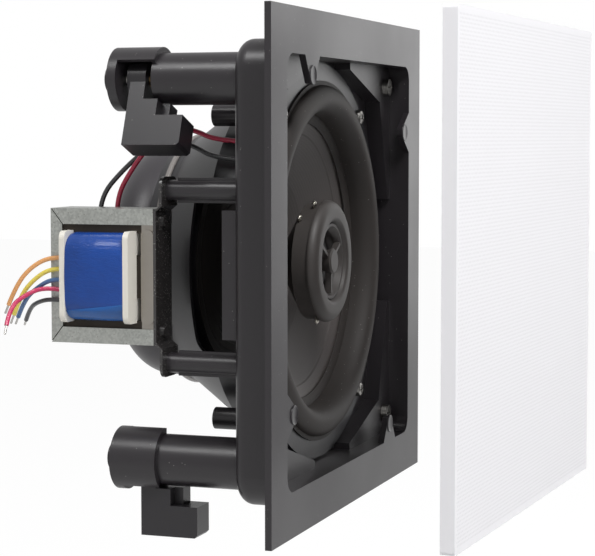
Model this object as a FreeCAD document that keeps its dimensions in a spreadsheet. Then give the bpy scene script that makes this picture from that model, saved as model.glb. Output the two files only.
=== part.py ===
import FreeCAD, Part

import math
import os

import Sketcher

# Square flush-mount loudspeaker with a coaxial driver, a line transformer on its back, four swing clamps,
# and its perforated grille taken off and set in front. Millimetres. X runs to the right as seen from the
# front, Y runs backwards into the wall and Z runs up. The origin is the centre of the square opening, in
# the plane of the flange's rear face.

doc = FreeCAD.newDocument("Loudspeaker")

# Driving sizes: alias, value, what it measures.
SIZES = [
    ("flange_side", 216.0, "side of the square front flange"),
    ("flange_thick", 2.8, "thickness of the flange"),
    ("box_depth", 19.0, "depth of the box behind the flange"),
    ("box_corner", 13.0, "corner radius of the box"),
    ("box_edge", 6.0, "radius of the box's rear edge"),
    ("opening_half", 89.0, "half the side of the front opening"),
    ("box_wall", 6.0, "wall of the box beside the opening"),
    ("opening_corner", 7.0, "corner radius of the opening"),
    ("shelf_depth", 7.0, "depth of the corner shelves below the flange's rear face"),
    ("floor_depth", 14.5, "depth of the baffle floor"),
    ("shelf_reach", 25.0, "where a corner shelf starts, from the centre line"),
    ("lip_inset", 3.0, "distance of a shelf's narrow end from the opening's side"),
    ("knee_inset", 17.0, "distance of a shelf's knee from the opening's sides"),
    ("tab_place", 57.5, "place of a grille tab along its side"),
    ("tab_base", 19.0, "width of a grille tab at its root"),
    ("tab_tip", 3.6, "width of a grille tab at its tip"),
    ("tab_height", 11.6, "height of a grille tab"),
    ("tower_inset", 9.8, "distance of a clamp tower's axis from the opening's sides"),
    ("tower_radius", 10.75, "outer radius of a clamp tower"),
    ("tower_end", 56.0, "where the towers end, behind the flange"),
    ("guard_radius", 13.2, "outer radius of a clamp guard"),
    ("guard_wall", 1.6, "wall of a clamp guard"),
    ("guard_end", 74.8, "rear face of a clamp guard"),
    ("guard_floor", 4.0, "thickness of a guard's end disc"),
    ("nub_radius", 5.6, "radius of the bearing boss on a guard's end"),
    ("nub_height", 4.2, "height of the bearing boss"),
    ("screw_radius", 2.5, "radius of a clamp screw's shank"),
    ("screw_play", 0.3, "radial clearance of a clamp screw in the moulding"),
    ("head_radius", 3.9, "radius of a clamp screw's head"),
    ("head_height", 3.0, "height of a clamp screw's head"),
    ("tip_proud", 1.2, "how far a clamp screw stands out of the bearing boss"),
    ("arm_width", 13.0, "width of a clamp arm across its swing"),
    ("arm_reach", 31.3, "length of a clamp arm from its axis"),
    ("arm_front", 50.0, "front face of a clamp arm"),
    ("arm_back", 63.2, "rear face of a clamp arm"),
    ("arm_clear", 0.5, "running gap round a clamp arm"),
    ("foot_front", 38.0, "front face of a clamp's foot"),
    ("foot_height", 13.0, "height of a clamp's foot along the arm"),
    ("foot_chamfer", 1.2, "chamfer on the foot's outer front edge"),
    ("gusset_front", 46.3, "front face of the gusset between arm and foot"),
    ("hub_radius", 7.5, "radius of the arm's hub"),
    ("hub_back", 64.8, "rear face of the arm's hub"),
    ("insert_radius", 3.8, "radius of the threaded insert in the hub"),
    ("insert_play", 0.05, "radial clearance of the insert in the hub"),
    ("thread_play", 0.05, "radial clearance of the screw in the insert"),
    ("post_inset", 7.5, "distance of the bracket posts from the opening's side"),
    ("post_rib", 1.8, "thickness of the ribs along a bracket post"),
    ("post_fin", 5.2, "reach of the ribs from a bracket post's axis"),
    ("post_radius", 4.2, "radius of a bracket post"),
    ("post_end", 51.4, "rear face of the bracket posts"),
    ("post_spread", 35.8, "half the spacing of the bracket posts"),
    ("post_drop", 2.2, "how far the transformer's middle lies below the centre line"),
    ("boss_inset", 3.8, "distance of the driver's screws from the edge of its flange"),
    ("boss_across", 0.6413, "sideways share of the driver screws' distance from the centre"),
    ("boss_upward", 0.7673, "upward share of the driver screws' distance from the centre"),
    ("boss_radius", 4.7, "radius of the driver's screw bosses"),
    ("boss_end", 42.0, "rear face of the driver's screw bosses"),
    ("pilot_radius", 1.5, "radius of a pilot hole"),
    ("cutout_play", 1.0, "gap between the baffle floor and the driver's drum"),
    ("rim_play", 1.0, "gap between the driver's flange and the opening's side"),
    ("flange_sheet", 2.0, "thickness of the driver's flange"),
    ("drum_inset", 12.4, "width of the driver's flange outside the basket's drum"),
    ("basket_wall", 2.0, "wall of the basket"),
    ("drum_end", 38.5, "where the basket starts to close in"),
    ("knee_radius", 56.8, "radius at the basket's knee"),
    ("knee_depth", 65.0, "depth of the basket's knee"),
    ("basket_end", 75.0, "rear face of the basket"),
    ("basket_back", 53.6, "radius of the basket's rear face"),
    ("window_half", 36.0, "half the width of a basket window"),
    ("window_corner", 6.0, "corner radius of a basket window"),
    ("window_front", 22.0, "front edge of the basket windows"),
    ("window_back", 48.0, "rear edge of the basket windows"),
    ("spider_radius", 48.0, "outer radius of the spider"),
    ("spider_rim", 4.0, "width of the spider's flat rim"),
    ("spider_front", 53.0, "front face of the spider's rim"),
    ("spider_sheet", 0.6, "thickness of the spider's cloth"),
    ("spider_wave", 1.6, "height of the spider's corrugations"),
    ("lip_margin", 7.7, "width of the driver's flange outside the surround's lip"),
    ("lip_width", 1.9, "width of the surround's lip"),
    ("roll_width", 12.8, "width of the surround's roll"),
    ("roll_crest", 7.4, "depth of the roll's crest"),
    ("roll_sheet", 1.0, "thickness of the surround's rubber"),
    ("cone_lap", 0.9, "how far the cone reaches under the roll"),
    ("cone_front", 19.8, "depth of the cone's edge"),
    ("crease_inset", 10.0, "distance of the crease from the cone's edge"),
    ("crease_depth", 23.6, "depth of the crease"),
    ("cone_waist", 38.0, "radius at the cone's bend"),
    ("waist_depth", 34.0, "depth of the cone's bend"),
    ("cone_neck", 47.0, "depth of the cone's neck"),
    ("cone_sheet", 0.9, "thickness of the cone"),
    ("former_radius", 19.7, "outer radius of the voice coil's former"),
    ("former_wall", 0.4, "wall of the former"),
    ("former_end", 86.0, "rear end of the former"),
    ("coil_build", 0.5, "thickness of the voice coil's winding"),
    ("coil_front", 71.5, "front end of the winding"),
    ("coil_length", 12.0, "length of the winding"),
    ("gap_play", 0.5, "air gap on each side of the voice coil"),
    ("cone_gap", 0.3, "gap between the cone's parts and what carries them"),
    ("plate_radius", 40.0, "radius of the magnet's front plate"),
    ("plate_thick", 5.0, "thickness of the magnet's front plate"),
    ("magnet_radius", 45.0, "radius of the magnet"),
    ("magnet_bore", 24.0, "bore radius of the magnet"),
    ("magnet_thick", 10.0, "thickness of the magnet"),
    ("yoke_radius", 40.0, "radius of the yoke's plate"),
    ("yoke_thick", 4.6, "thickness of the yoke's plate"),
    ("cover_radius", 53.4, "outer radius of the magnet's cover"),
    ("cover_wall", 1.6, "wall of the magnet's cover"),
    ("cover_back", 97.2, "rear face of the magnet's cover"),
    ("cover_round", 16.0, "radius of the cover's rear edge"),
    ("stem_radius", 4.0, "radius of the tweeter's stem"),
    ("stem_bore", 2.4, "bore radius of the stem"),
    ("pod_radius", 26.2, "radius of the tweeter's housing"),
    ("pod_front", 9.6, "front edge of the tweeter's housing"),
    ("pod_shoulder", 17.5, "where the housing starts to taper"),
    ("pod_back", 27.0, "rear face of the housing"),
    ("pod_tail", 11.0, "radius of the housing's rear face"),
    ("pod_wall", 1.8, "wall of the housing"),
    ("bezel_radius", 27.3, "outer radius of the tweeter's bezel"),
    ("bezel_crest", 5.8, "depth of the bezel's foremost ring"),
    ("bezel_inner", 17.7, "inner radius of the bezel"),
    ("horn_throat", 13.4, "radius of the bezel's throat"),
    ("horn_depth", 13.0, "depth of the bezel's throat"),
    ("dome_radius", 12.6, "radius of the tweeter's dome"),
    ("dome_height", 3.4, "height of the tweeter's dome"),
    ("motor_radius", 15.0, "radius of the tweeter's magnet"),
    ("motor_front", 15.6, "front face of the tweeter's magnet"),
    ("motor_back", 21.6, "rear face of the tweeter's magnet"),
    ("plug_radius", 5.7, "radius of the phase plug's hub"),
    ("plug_front", 6.2, "front face of the phase plug"),
    ("plug_back", 11.6, "rear end of the phase plug's hub"),
    ("blade_thick", 1.5, "thickness of a phase plug blade"),
    ("blade_depth", 4.2, "depth of a phase plug blade"),
    ("core_proud", 8.5, "distance of the transformer's outer side from the posts' axes"),
    ("core_wide", 20.0, "width of the transformer's frame"),
    ("core_depth", 46.4, "depth of the transformer's frame"),
    ("core_height", 56.2, "height of the transformer's frame"),
    ("core_front", 55.3, "front face of the transformer's frame"),
    ("clip_sheet", 1.0, "sheet thickness of the transformer's frame"),
    ("clip_flange", 6.6, "height of the frame's side flanges, top and bottom"),
    ("clip_flange_back", 5.2, "height of the frame's rear side flanges"),
    ("mitre_gap", 0.35, "width of the joint at a corner of the side flanges"),
    ("side_plate", 5.6, "depth of the plate on the core's near side"),
    ("plate_corner", 2.4, "corner radius of that plate"),
    ("core_limb", 9.0, "width of the core's outer limbs"),
    ("core_centre", 18.0, "width of the core's centre limb"),
    ("cheek_corner", 3.2, "corner radius of the coil former's cheeks"),
    ("coil_corner", 6.0, "corner radius of the winding"),
    ("tube_wall", 1.2, "wall of the coil former's tube"),
    ("former_cheek", 2.4, "thickness of the coil former's cheeks"),
    ("cheek_reach", 8.0, "how far the coil former's cheeks stand out of the core"),
    ("coil_reach", 8.6, "how far the winding stands out of the core"),
    ("far_reach", 5.0, "how far the coil stands out towards the driver"),
    ("coil_height", 37.0, "height of the winding"),
    ("cheek_height", 38.0, "height of the former's cheeks"),
    ("strap_width", 16.6, "width of the transformer's strap"),
    ("strap_sheet", 1.2, "sheet thickness of the strap"),
    ("strap_ear", 5.6, "how far the strap reaches past each post"),
    ("strap_step", 2.7, "how far the strap steps forward beside the frame"),
    ("strap_corner", 4.0, "corner radius of the strap's ears"),
    ("tapping_radius", 1.35, "radius of a small tapping screw's shank"),
    ("pan_radius", 3.4, "radius of a driver screw's head"),
    ("screw_short", 8.0, "how far a driver screw ends before its boss does"),
    ("pan_height", 2.4, "height of a driver screw's head"),
    ("rivet_radius", 2.6, "radius of a rivet's head"),
    ("rivet_shank", 1.4, "radius of a rivet's shank"),
    ("rivet_spread", 23.0, "half the spacing of the strap's rivets"),
    ("lead_radius", 1.05, "radius of a driver lead"),
    ("black_rise", 45.6, "height at which the black lead goes through the baffle"),
    ("red_rise", 53.4, "height at which the red lead goes through the baffle"),
    ("lead_inset", 23.4, "distance of the driver leads from the opening's side"),
    ("tap_radius", 0.95, "radius of a transformer lead"),
    ("tap_side", 4.6, "distance of the transformer leads from the frame's outer side"),
    ("bare_radius", 0.5, "radius of a lead's bare end"),
    ("bare_length", 4.0, "length of a lead's bare end"),
    ("grille_side", 211.0, "side of the grille"),
    ("grille_depth", 6.0, "depth of the grille's folded edge"),
    ("grille_sheet", 0.8, "sheet thickness of the grille"),
    ("grille_corner", 1.6, "corner radius of the grille"),
    ("grille_stand", 82.6, "how far in front of the flange's rear face the grille stands"),
    ("grille_turn", 3.3, "how far the grille is turned from the flange, in degrees"),
]

sheet = doc.addObject("Spreadsheet::Sheet", "Sizes")
for row, (alias, number, meaning) in enumerate(SIZES, start=1):
    sheet.set(f"A{row}", alias)
    sheet.set(f"B{row}", str(number))
    sheet.set(f"C{row}", meaning)
    sheet.setAlias(f"B{row}", alias)
doc.recompute()


class Size:
    """A length worked out from the sheet: its value, and the same sum as an expression."""

    def __init__(self, value, text):
        self.value = float(value)
        self.text = text

    @staticmethod
    def of(thing):
        return thing if isinstance(thing, Size) else Size(thing, repr(float(thing)))

    def __add__(self, other):
        other = Size.of(other)
        return Size(self.value + other.value, f"({self.text} + {other.text})")

    def __sub__(self, other):
        other = Size.of(other)
        return Size(self.value - other.value, f"({self.text} - {other.text})")

    def __rsub__(self, other):
        return Size.of(other) - self

    def __mul__(self, other):
        other = Size.of(other)
        return Size(self.value * other.value, f"({self.text} * {other.text})")

    def __truediv__(self, other):
        other = Size.of(other)
        return Size(self.value / other.value, f"({self.text} / {other.text})")

    def __neg__(self):
        return Size(-self.value, f"(-1 * {self.text})")

    __radd__ = __add__
    __rmul__ = __mul__


class Sizes:
    """The sheet's cells by name, each as a Size, and the sizes that follow from them."""

    def __getattr__(self, alias):
        if alias in LINKED:
            return LINKED[alias]()
        return Size(sheet.get(alias), f"Sizes.{alias}")


z = Sizes()

# Sizes that keep the driver, clamps, posts and transformer in step with the opening.
LINKED = {
    "box_half": lambda: z.opening_half + z.box_wall,
    "shelf_lip": lambda: z.opening_half - z.lip_inset,
    "shelf_knee": lambda: z.opening_half - z.knee_inset,
    "tower_place": lambda: z.opening_half - z.tower_inset,
    "post_side": lambda: z.opening_half - z.post_inset,
    "core_near": lambda: z.post_side + z.core_proud,
    "lead_side": lambda: -(z.opening_half - z.lead_inset),
    "basket_flange": lambda: z.opening_half - z.rim_play,
    "drum_radius": lambda: z.basket_flange - z.drum_inset,
    "cutout_radius": lambda: z.drum_radius + z.cutout_play,
    "boss_side": lambda: (z.basket_flange - z.boss_inset) * z.boss_across,
    "boss_rise": lambda: (z.basket_flange - z.boss_inset) * z.boss_upward,
    "surround_lip": lambda: z.basket_flange - z.lip_margin,
    "roll_outer": lambda: z.surround_lip - z.lip_width,
    "roll_inner": lambda: z.roll_outer - z.roll_width,
    "cone_edge": lambda: z.roll_inner + z.cone_lap,
    "crease_radius": lambda: z.cone_edge - z.crease_inset,
}
Y_UP = FreeCAD.Rotation(FreeCAD.Vector(1, 0, 0), -90)


def bind(thing, **properties):
    """Tie properties of an object to the sheet."""
    for name, size in properties.items():
        setattr(thing, name, Size.of(size).value)
        thing.setExpression(name, Size.of(size).text)


def place(thing, at, rotation=None):
    """Put an object at a point whose coordinates follow the sheet."""
    sizes = [Size.of(coordinate) for coordinate in at]
    base = FreeCAD.Vector(*[size.value for size in sizes])
    thing.Placement = FreeCAD.Placement(base, rotation or FreeCAD.Rotation())
    for axis, size in zip("xyz", sizes):
        thing.setExpression(f"Placement.Base.{axis}", size.text)


def rod(name, radius, start, end, side=0.0, rise=0.0, angle=None, first=0.0):
    """A cylinder along Y. A sector of it covers angle degrees from the direction first, X towards Z."""
    made = doc.addObject("Part::Cylinder", name)
    bind(made, Radius=radius, Height=Size.of(end) - start)
    turn = FreeCAD.Rotation()
    if angle is not None:
        bind(made, Angle=angle)
        turn = FreeCAD.Rotation(FreeCAD.Vector(0, 1, 0), -(first + Size.of(angle).value))
    place(made, (side, start, rise), turn * Y_UP)
    return made


def block(name, low, high):
    """A box between two corners."""
    made = doc.addObject("Part::Box", name)
    spans = [Size.of(b) - a for a, b in zip(low, high)]
    bind(made, Length=spans[0], Width=spans[1], Height=spans[2])
    place(made, low)
    return made


def fuse(name, *things):
    """One object made of several."""
    made = doc.addObject("Part::MultiFuse", name)
    made.Shapes = list(things)
    made.Refine = True
    return made


def cut(name, base, *tools):
    """An object less one or more tools."""
    made = doc.addObject("Part::Cut", name)
    made.Base = base
    made.Tool = tools[0] if len(tools) == 1 else fuse(name + "_tools", *tools)
    made.Refine = True
    return made


def body(name):
    """A new body."""
    return doc.addObject("PartDesign::Body", name)


def origin_plane(owner, role):
    """One of a body's own base planes or axes."""
    return next(part for part in owner.Origin.OriginFeatures if part.Role == role)


def pin(sketch, index, end, coordinate, size):
    """Tie one coordinate of a point in a sketch to the sheet."""
    size = Size.of(size)
    if size.text == "0.0":
        axis = -2 if coordinate == "X" else -1
        sketch.addConstraint(Sketcher.Constraint("PointOnObject", index, end, axis))
        return
    number = sketch.addConstraint(
        Sketcher.Constraint("Distance" + coordinate, -1, 1, index, end, size.value)
    )
    sketch.setExpression(f"Constraints[{number}]", size.text)


def outline(owner, name, plane, points, offset=None):
    """A closed outline of straight edges, every corner tied to the sheet."""
    sketch = owner.newObject("Sketcher::SketchObject", name)
    sketch.AttachmentSupport = [(origin_plane(owner, plane), "")]
    sketch.MapMode = "FlatFace"
    if offset is not None:
        sketch.setExpression("AttachmentOffset.Base.z", Size.of(offset).text)
    corners = [FreeCAD.Vector(Size.of(u).value, Size.of(v).value, 0) for u, v in points]
    count = len(corners)
    for k in range(count):
        sketch.addGeometry(Part.LineSegment(corners[k], corners[(k + 1) % count]), False)
    for k in range(count):
        sketch.addConstraint(Sketcher.Constraint("Coincident", k, 2, (k + 1) % count, 1))
    for k, (u, v) in enumerate(points):
        pin(sketch, k, 1, "X", u)
        pin(sketch, k, 1, "Y", v)
    return sketch


def circles(owner, name, plane, places, radius, offset=None):
    """A sketch of equal circles."""
    sketch = owner.newObject("Sketcher::SketchObject", name)
    sketch.AttachmentSupport = [(origin_plane(owner, plane), "")]
    sketch.MapMode = "FlatFace"
    if offset is not None:
        sketch.setExpression("AttachmentOffset.Base.z", Size.of(offset).text)
    for k, (u, v) in enumerate(places):
        centre = FreeCAD.Vector(Size.of(u).value, Size.of(v).value, 0)
        sketch.addGeometry(Part.Circle(centre, FreeCAD.Vector(0, 0, 1), radius.value), False)
        pin(sketch, k, 3, "X", u)
        pin(sketch, k, 3, "Y", v)
        number = sketch.addConstraint(Sketcher.Constraint("Radius", k, radius.value))
        sketch.setExpression(f"Constraints[{number}]", radius.text)
    return sketch


def revolve(name, points):
    """A body turned about the Y axis from an outline of radius and depth."""
    made = body(name)
    sketch = outline(made, name + "_outline", "XY_Plane", points)
    turned = made.newObject("PartDesign::Revolution", name + "_turned")
    turned.Profile = sketch
    turned.ReferenceAxis = (sketch, ["V_Axis"])
    turned.Angle = 360
    doc.recompute()
    return made


def feature(owner, kind, name, sketch, length, reverse):
    """A pad or a pocket of a sketch. Sketches on the XZ plane face forwards, so reverse sends it backwards."""
    made = owner.newObject("PartDesign::" + kind, name)
    made.Profile = sketch
    bind(made, Length=length)
    made.Reversed = reverse
    doc.recompute()
    return made


def edges_where(shape, test):
    """Names of the edges whose middle passes a test."""
    names = []
    for number, edge in enumerate(shape.Edges, start=1):
        middle = edge.valueAt((edge.FirstParameter + edge.LastParameter) / 2)
        if test(edge, middle):
            names.append(f"Edge{number}")
    return names


def dress(owner, kind, name, base, test, size):
    """A fillet or chamfer on the edges that pass a test."""
    made = owner.newObject("PartDesign::" + kind, name)
    made.Base = (base, edges_where(base.Shape, test))
    bind(made, **{"Radius" if kind == "Fillet" else "Size": size})
    doc.recompute()
    return made


def square(half):
    """The corners of a centred square."""
    return [(-half, -half), (half, -half), (half, half), (-half, half)]


def quarter_turns(points):
    """A run of points on the top side, then on each of the other sides, going clockwise."""
    run = []
    for turn in range(4):
        for u, v in points:
            for _ in range(turn):
                u, v = v, -u
            run.append((u, v))
    return run


nodes = {}


def node(name, made):
    """Register an object as the sub-part of that name."""
    made.Label = name
    nodes[name] = made
    return made


def along_y(edge):
    """Whether an edge runs along Y."""
    direction = edge.tangentAt(edge.FirstParameter)
    return abs(abs(direction.y) - 1) < 1e-6


def softened(name, base, test, radius):
    """A block with the edges that pass a test rounded."""
    doc.recompute()
    made = doc.addObject("Part::Fillet", name)
    made.Base = base
    made.Edges = [(number, radius.value, radius.value)
                  for number, edge in enumerate(base.Shape.Edges, start=1) if test(edge)]
    return made


# Front moulding: flange, box, baffle floor, clamp towers, posts and bosses in one piece.
def front_moulding():
    shell = body("moulding_shell")
    box = feature(shell, "Pad", "box_pad", outline(shell, "box_outline", "XZ_Plane", square(z.box_half)),
                  z.box_depth, True)
    rounded = dress(shell, "Fillet", "box_corners", box, lambda e, m: along_y(e), z.box_corner)
    eased = dress(shell, "Fillet", "box_rear_edge", rounded,
                  lambda e, m: abs(m.y - z.box_depth.value) < 1e-6, z.box_edge)
    feature(shell, "Pad", "flange_pad",
            outline(shell, "flange_outline", "XZ_Plane", square(z.flange_side / 2)), z.flange_thick, False)
    feature(shell, "Pocket", "well", outline(shell, "well_outline", "XZ_Plane", square(z.opening_half)),
            z.shelf_depth, False)
    shelf_run = [(-z.shelf_reach, z.opening_half), (z.shelf_reach, z.opening_half),
                 (z.shelf_reach, z.shelf_lip), (z.shelf_knee, z.shelf_knee), (z.shelf_lip, z.shelf_reach)]
    feature(shell, "Pocket", "deep_well",
            outline(shell, "deep_well_outline", "XZ_Plane", quarter_turns(shelf_run), -z.shelf_depth),
            z.floor_depth - z.shelf_depth, False)
    left = z.tab_place + z.tab_base / 2
    right = z.tab_place - z.tab_base / 2
    tip = z.opening_half - z.tab_height
    tab_run = [(-z.opening_half, z.opening_half), (-left, z.opening_half),
               (-z.tab_place - z.tab_tip / 2, tip), (-z.tab_place + z.tab_tip / 2, tip),
               (-right, z.opening_half)]
    feature(shell, "Pocket", "opening",
            outline(shell, "opening_outline", "XZ_Plane", quarter_turns(tab_run), z.flange_thick),
            z.flange_thick, False)
    feature(shell, "Pocket", "driver_hole",
            circles(shell, "driver_circle", "XZ_Plane", [(0.0, 0.0)], z.cutout_radius, -z.floor_depth),
            z.box_depth - z.floor_depth, False)
    corners = z.opening_half.value
    dress(shell, "Fillet", "opening_corners", shell.Tip,
          lambda e, m: along_y(e) and abs(abs(m.x) - corners) < 1e-6 and abs(abs(m.z) - corners) < 1e-6,
          z.opening_corner)

    reach = tip.value
    dress(shell, "Fillet", "tab_tips", shell.Tip,
          lambda e, m: along_y(e) and abs(max(abs(m.x), abs(m.z)) - reach) < 1e-6
          and abs(min(abs(m.x), abs(m.z)) - z.tab_place.value) < z.tab_tip.value, z.tab_tip * 0.45)

    added, removed = [shell], []
    for index, (side, rise) in enumerate(tower_places(), start=1):
        added.append(rod(f"tower_{index}", z.tower_radius, z.box_depth - 1.0, z.tower_end, side, rise))
        added.append(guard(index, side, rise))
        removed.append(rod(f"screw_way_{index}", z.screw_radius + z.screw_play, z.shelf_depth - 1.0,
                           z.guard_end + z.nub_height + 1.0, side, rise))
    for index, up in enumerate((1, -1), start=1):
        rise = z.post_spread * up - z.post_drop
        added.append(rod(f"post_{index}", z.post_radius, z.box_depth - 1.0, z.post_end, -z.post_side, rise))
        for kind, across, tall in (("fin", z.post_rib / 2, z.post_fin), ("web", z.post_fin, z.post_rib / 2)):
            added.append(block(f"post_{kind}_{index}", (-z.post_side - across, z.box_depth - 1.0, rise - tall),
                               (-z.post_side + across, z.post_end - 4.0, rise + tall)))
        removed.append(rod(f"post_pilot_{index}", z.tapping_radius, z.post_end - 12.0, z.post_end + 1.0,
                           -z.post_side, rise))
    for index, (side, rise) in enumerate(boss_places(), start=1):
        added.append(rod(f"boss_{index}", z.boss_radius, z.box_depth - 1.0, z.boss_end, side, rise))
        removed.append(rod(f"boss_pilot_{index}", z.tapping_radius, z.floor_depth - 1.0, z.boss_end - 3.0,
                           side, rise))
    added.append(block("side_rib", (-z.opening_half - 1.0, z.box_depth - 1.0, -z.post_spread * 0.75),
                       (-z.opening_half + 3.0, z.box_depth + 6.0, z.post_spread * 0.72)))
    for index, (side, rise) in enumerate(lead_holes(), start=1):
        removed.append(rod(f"lead_hole_{index}", z.lead_radius, z.floor_depth - 1.0, z.box_depth + 1.0,
                           side, rise))
    return node("front_frame", cut("front_frame_cut", fuse("front_frame_solid", *added), *removed))


def tower_places():
    """Clamp axes: bottom left, top left, top right, bottom right."""
    far = z.tower_place
    return [(-far, -far), (-far, far), (far, far), (far, -far)]


def boss_places():
    """Driver screws, one in each quarter."""
    return [(z.boss_side * a, z.boss_rise * b) for a in (-1, 1) for b in (-1, 1)]


GUARD_FIRST = 88.0
GUARD_ANGLE = 146.0


def guard(index, side, rise):
    """A guard on the end of a tower: an end disc with a bearing boss, and a wall over half the round."""
    first = GUARD_FIRST - 90.0 * (index - 1)
    wall = cut(f"guard_wall_{index}",
               rod(f"guard_outer_{index}", z.guard_radius, z.tower_end - z.guard_wall, z.guard_end - z.guard_floor,
                   side, rise, GUARD_ANGLE, first),
               rod(f"guard_inner_{index}", z.guard_radius - z.guard_wall, z.tower_end, z.guard_end,
                   side, rise))
    disc = rod(f"guard_disc_{index}", z.guard_radius, z.guard_end - z.guard_floor, z.guard_end, side, rise)
    nub = rod(f"guard_nub_{index}", z.nub_radius, z.guard_end - 1.0, z.guard_end + z.nub_height, side, rise)
    return fuse(f"guard_{index}", wall, disc, nub)


def lead_holes():
    """Where the two driver leads go through the baffle floor."""
    return [(z.lead_side, z.black_rise), (z.lead_side, z.red_rise)]


# Clamps: each arm swings on a threaded insert, which travels on a long screw.
ARM_AT_REST = (0.0, 69.0, 90.0, 90.0)
RIDE_AT_REST = (0.0, 3.2, 0.0, 0.0)


def clamp(index, side, rise):
    """One clamp. Its deployed direction is straight down, turned a quarter for each next corner."""
    arm = body(f"arm_body_{index}")
    low = z.foot_front
    knee = z.arm_reach - z.foot_height
    front = z.tower_end + z.arm_clear
    throat = z.tower_radius + z.arm_clear
    points = [(front, -z.hub_radius * 0.5), (z.arm_back, -z.hub_radius * 0.5), (z.arm_back, z.arm_reach),
              (low + z.foot_chamfer, z.arm_reach), (low, z.arm_reach - z.foot_chamfer), (low, knee),
              (z.arm_front, knee), (z.arm_front, throat), (front, throat)]
    flipped = [(y, -reach) for y, reach in points]
    pad = arm.newObject("PartDesign::Pad", f"arm_pad_{index}")
    pad.Profile = outline(arm, f"arm_outline_{index}", "YZ_Plane", flipped)
    bind(pad, Length=z.arm_width)
    pad.Midplane = True
    hub = circles(arm, f"hub_circle_{index}", "XZ_Plane", [(0.0, 0.0)], z.hub_radius, -front)
    feature(arm, "Pad", f"hub_pad_{index}", hub, z.hub_back - front, True)
    gusset = outline(arm, f"gusset_outline_{index}", "XZ_Plane",
                     [(-z.arm_width * 0.1, -throat), (z.arm_width / 2, -throat),
                      (z.arm_width / 2, -knee - 1.0), (-z.arm_width * 0.1, -knee - 1.0)], -z.gusset_front)
    feature(arm, "Pad", f"gusset_pad_{index}", gusset, z.arm_front - z.gusset_front + 1.0, True)
    bore = circles(arm, f"insert_circle_{index}", "XZ_Plane", [(0.0, 0.0)],
                   z.insert_radius + z.insert_play, -(z.tower_end - 1.0))
    feature(arm, "Pocket", f"insert_bore_{index}", bore, z.hub_back - z.tower_end + 2.0, False)
    swing = 90.0 * (index - 1) - ARM_AT_REST[index - 1]
    ride = RIDE_AT_REST[index - 1]
    place(arm, (side, ride, rise), FreeCAD.Rotation(FreeCAD.Vector(0, 1, 0), swing))
    node(f"clamp_arm_{index}", arm)

    insert = cut(f"insert_cut_{index}",
                 rod(f"insert_solid_{index}", z.insert_radius, front + ride, z.hub_back + ride, side, rise),
                 rod(f"insert_way_{index}", z.screw_radius + z.thread_play, front + ride - 1.0,
                     z.hub_back + ride + 1.0, side, rise))
    node(f"clamp_insert_{index}", insert)

    head_front = z.shelf_depth - z.head_height
    shank = rod(f"shank_{index}", z.screw_radius, z.shelf_depth - 1.0,
                z.guard_end + z.nub_height + z.tip_proud, side, rise)
    head = rod(f"head_{index}", z.head_radius, head_front, z.shelf_depth, side, rise)
    slots = [block(f"cross_{index}_{k}", (side - a, head_front - 1.0, rise - b),
                   (side + a, head_front + z.head_height * 0.55, rise + b))
             for k, (a, b) in enumerate(((2.6, 0.5), (0.5, 2.6)))]
    node(f"clamp_screw_{index}",
         cut(f"clamp_screw_cut_{index}", fuse(f"clamp_screw_solid_{index}", shank, head), *slots))


# Driver: basket, surround, cone, voice coil, spider, motor and cover, all turned about the Y axis.
def basket():
    back = z.floor_depth
    front = back - z.flange_sheet
    inner = z.drum_radius - z.basket_wall
    wall = z.basket_wall
    end = z.basket_end
    neck = z.former_radius + z.coil_build + z.gap_play
    shell = revolve("basket_shell", [
        (inner, front), (z.basket_flange, front), (z.basket_flange, back), (z.drum_radius, back),
        (z.drum_radius, z.drum_end), (z.knee_radius, z.knee_depth), (z.basket_back, end), (neck, end),
        (neck, end - wall), (z.spider_radius - 3.0, end - wall),
        (z.spider_radius - 3.0, z.spider_front + z.spider_sheet), (z.spider_radius, z.spider_front + z.spider_sheet),
        (z.spider_radius, end - wall), (z.basket_back - 1.4, end - wall),
        (z.knee_radius - wall, z.knee_depth - 0.8), (inner, z.drum_end - 0.8)])
    windows = []
    out = z.box_half
    for name, low, high in (("side", (-out, z.window_front, -z.window_half), (out, z.window_back, z.window_half)),
                            ("rise", (-z.window_half, z.window_front, -out), (z.window_half, z.window_back, out))):
        hole = block(f"window_{name}", low, high)
        windows.append(softened(f"window_{name}_rounded", hole, lambda e: abs(e.Length - 2 * out.value) < 1e-6,
                                z.window_corner))
    ways = [rod(f"driver_way_{k}", z.tapping_radius + 0.6, front - 1.0, back + 1.0, side, rise)
            for k, (side, rise) in enumerate(boss_places())]
    return node("basket", cut("basket_cut", shell, *windows, *ways))


def surround():
    """A half roll of rubber between the driver's flange and the cone."""
    lip_back = z.floor_depth - z.flange_sheet
    lip_front = lip_back - z.roll_sheet
    foot = z.cone_front - z.cone_gap
    middle = (z.roll_outer + z.roll_inner) / 2
    half = (z.roll_outer - z.roll_inner) / 2
    steps = [(0.97, 0.34), (0.83, 0.66), (0.55, 0.9), (0.2, 0.99), (-0.2, 0.99), (-0.55, 0.9),
             (-0.83, 0.66), (-0.97, 0.34)]
    outer, inner = [], []
    for across, rise in steps:
        base = lip_front if across > 0 else foot - z.roll_sheet
        outer.append((middle + half * across, base - (base - z.roll_crest) * rise))
        base = lip_back if across > 0 else foot
        inner.append((middle + (half - z.roll_sheet) * across,
                      base - (base - z.roll_crest - z.roll_sheet) * rise))
    points = [(z.surround_lip, lip_back), (z.surround_lip, lip_front), (z.roll_outer + 0.6, lip_front)]
    points += outer
    points += [(z.roll_inner - 0.6, foot - z.roll_sheet), (z.roll_inner - 4.0, foot - z.roll_sheet + 1.4),
               (z.roll_inner - 4.0, foot + 1.4), (z.roll_inner + 1.0, foot)]
    points += inner[::-1]
    points += [(z.roll_outer - 0.9, lip_back)]
    return node("surround", revolve("surround_body", points))


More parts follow.
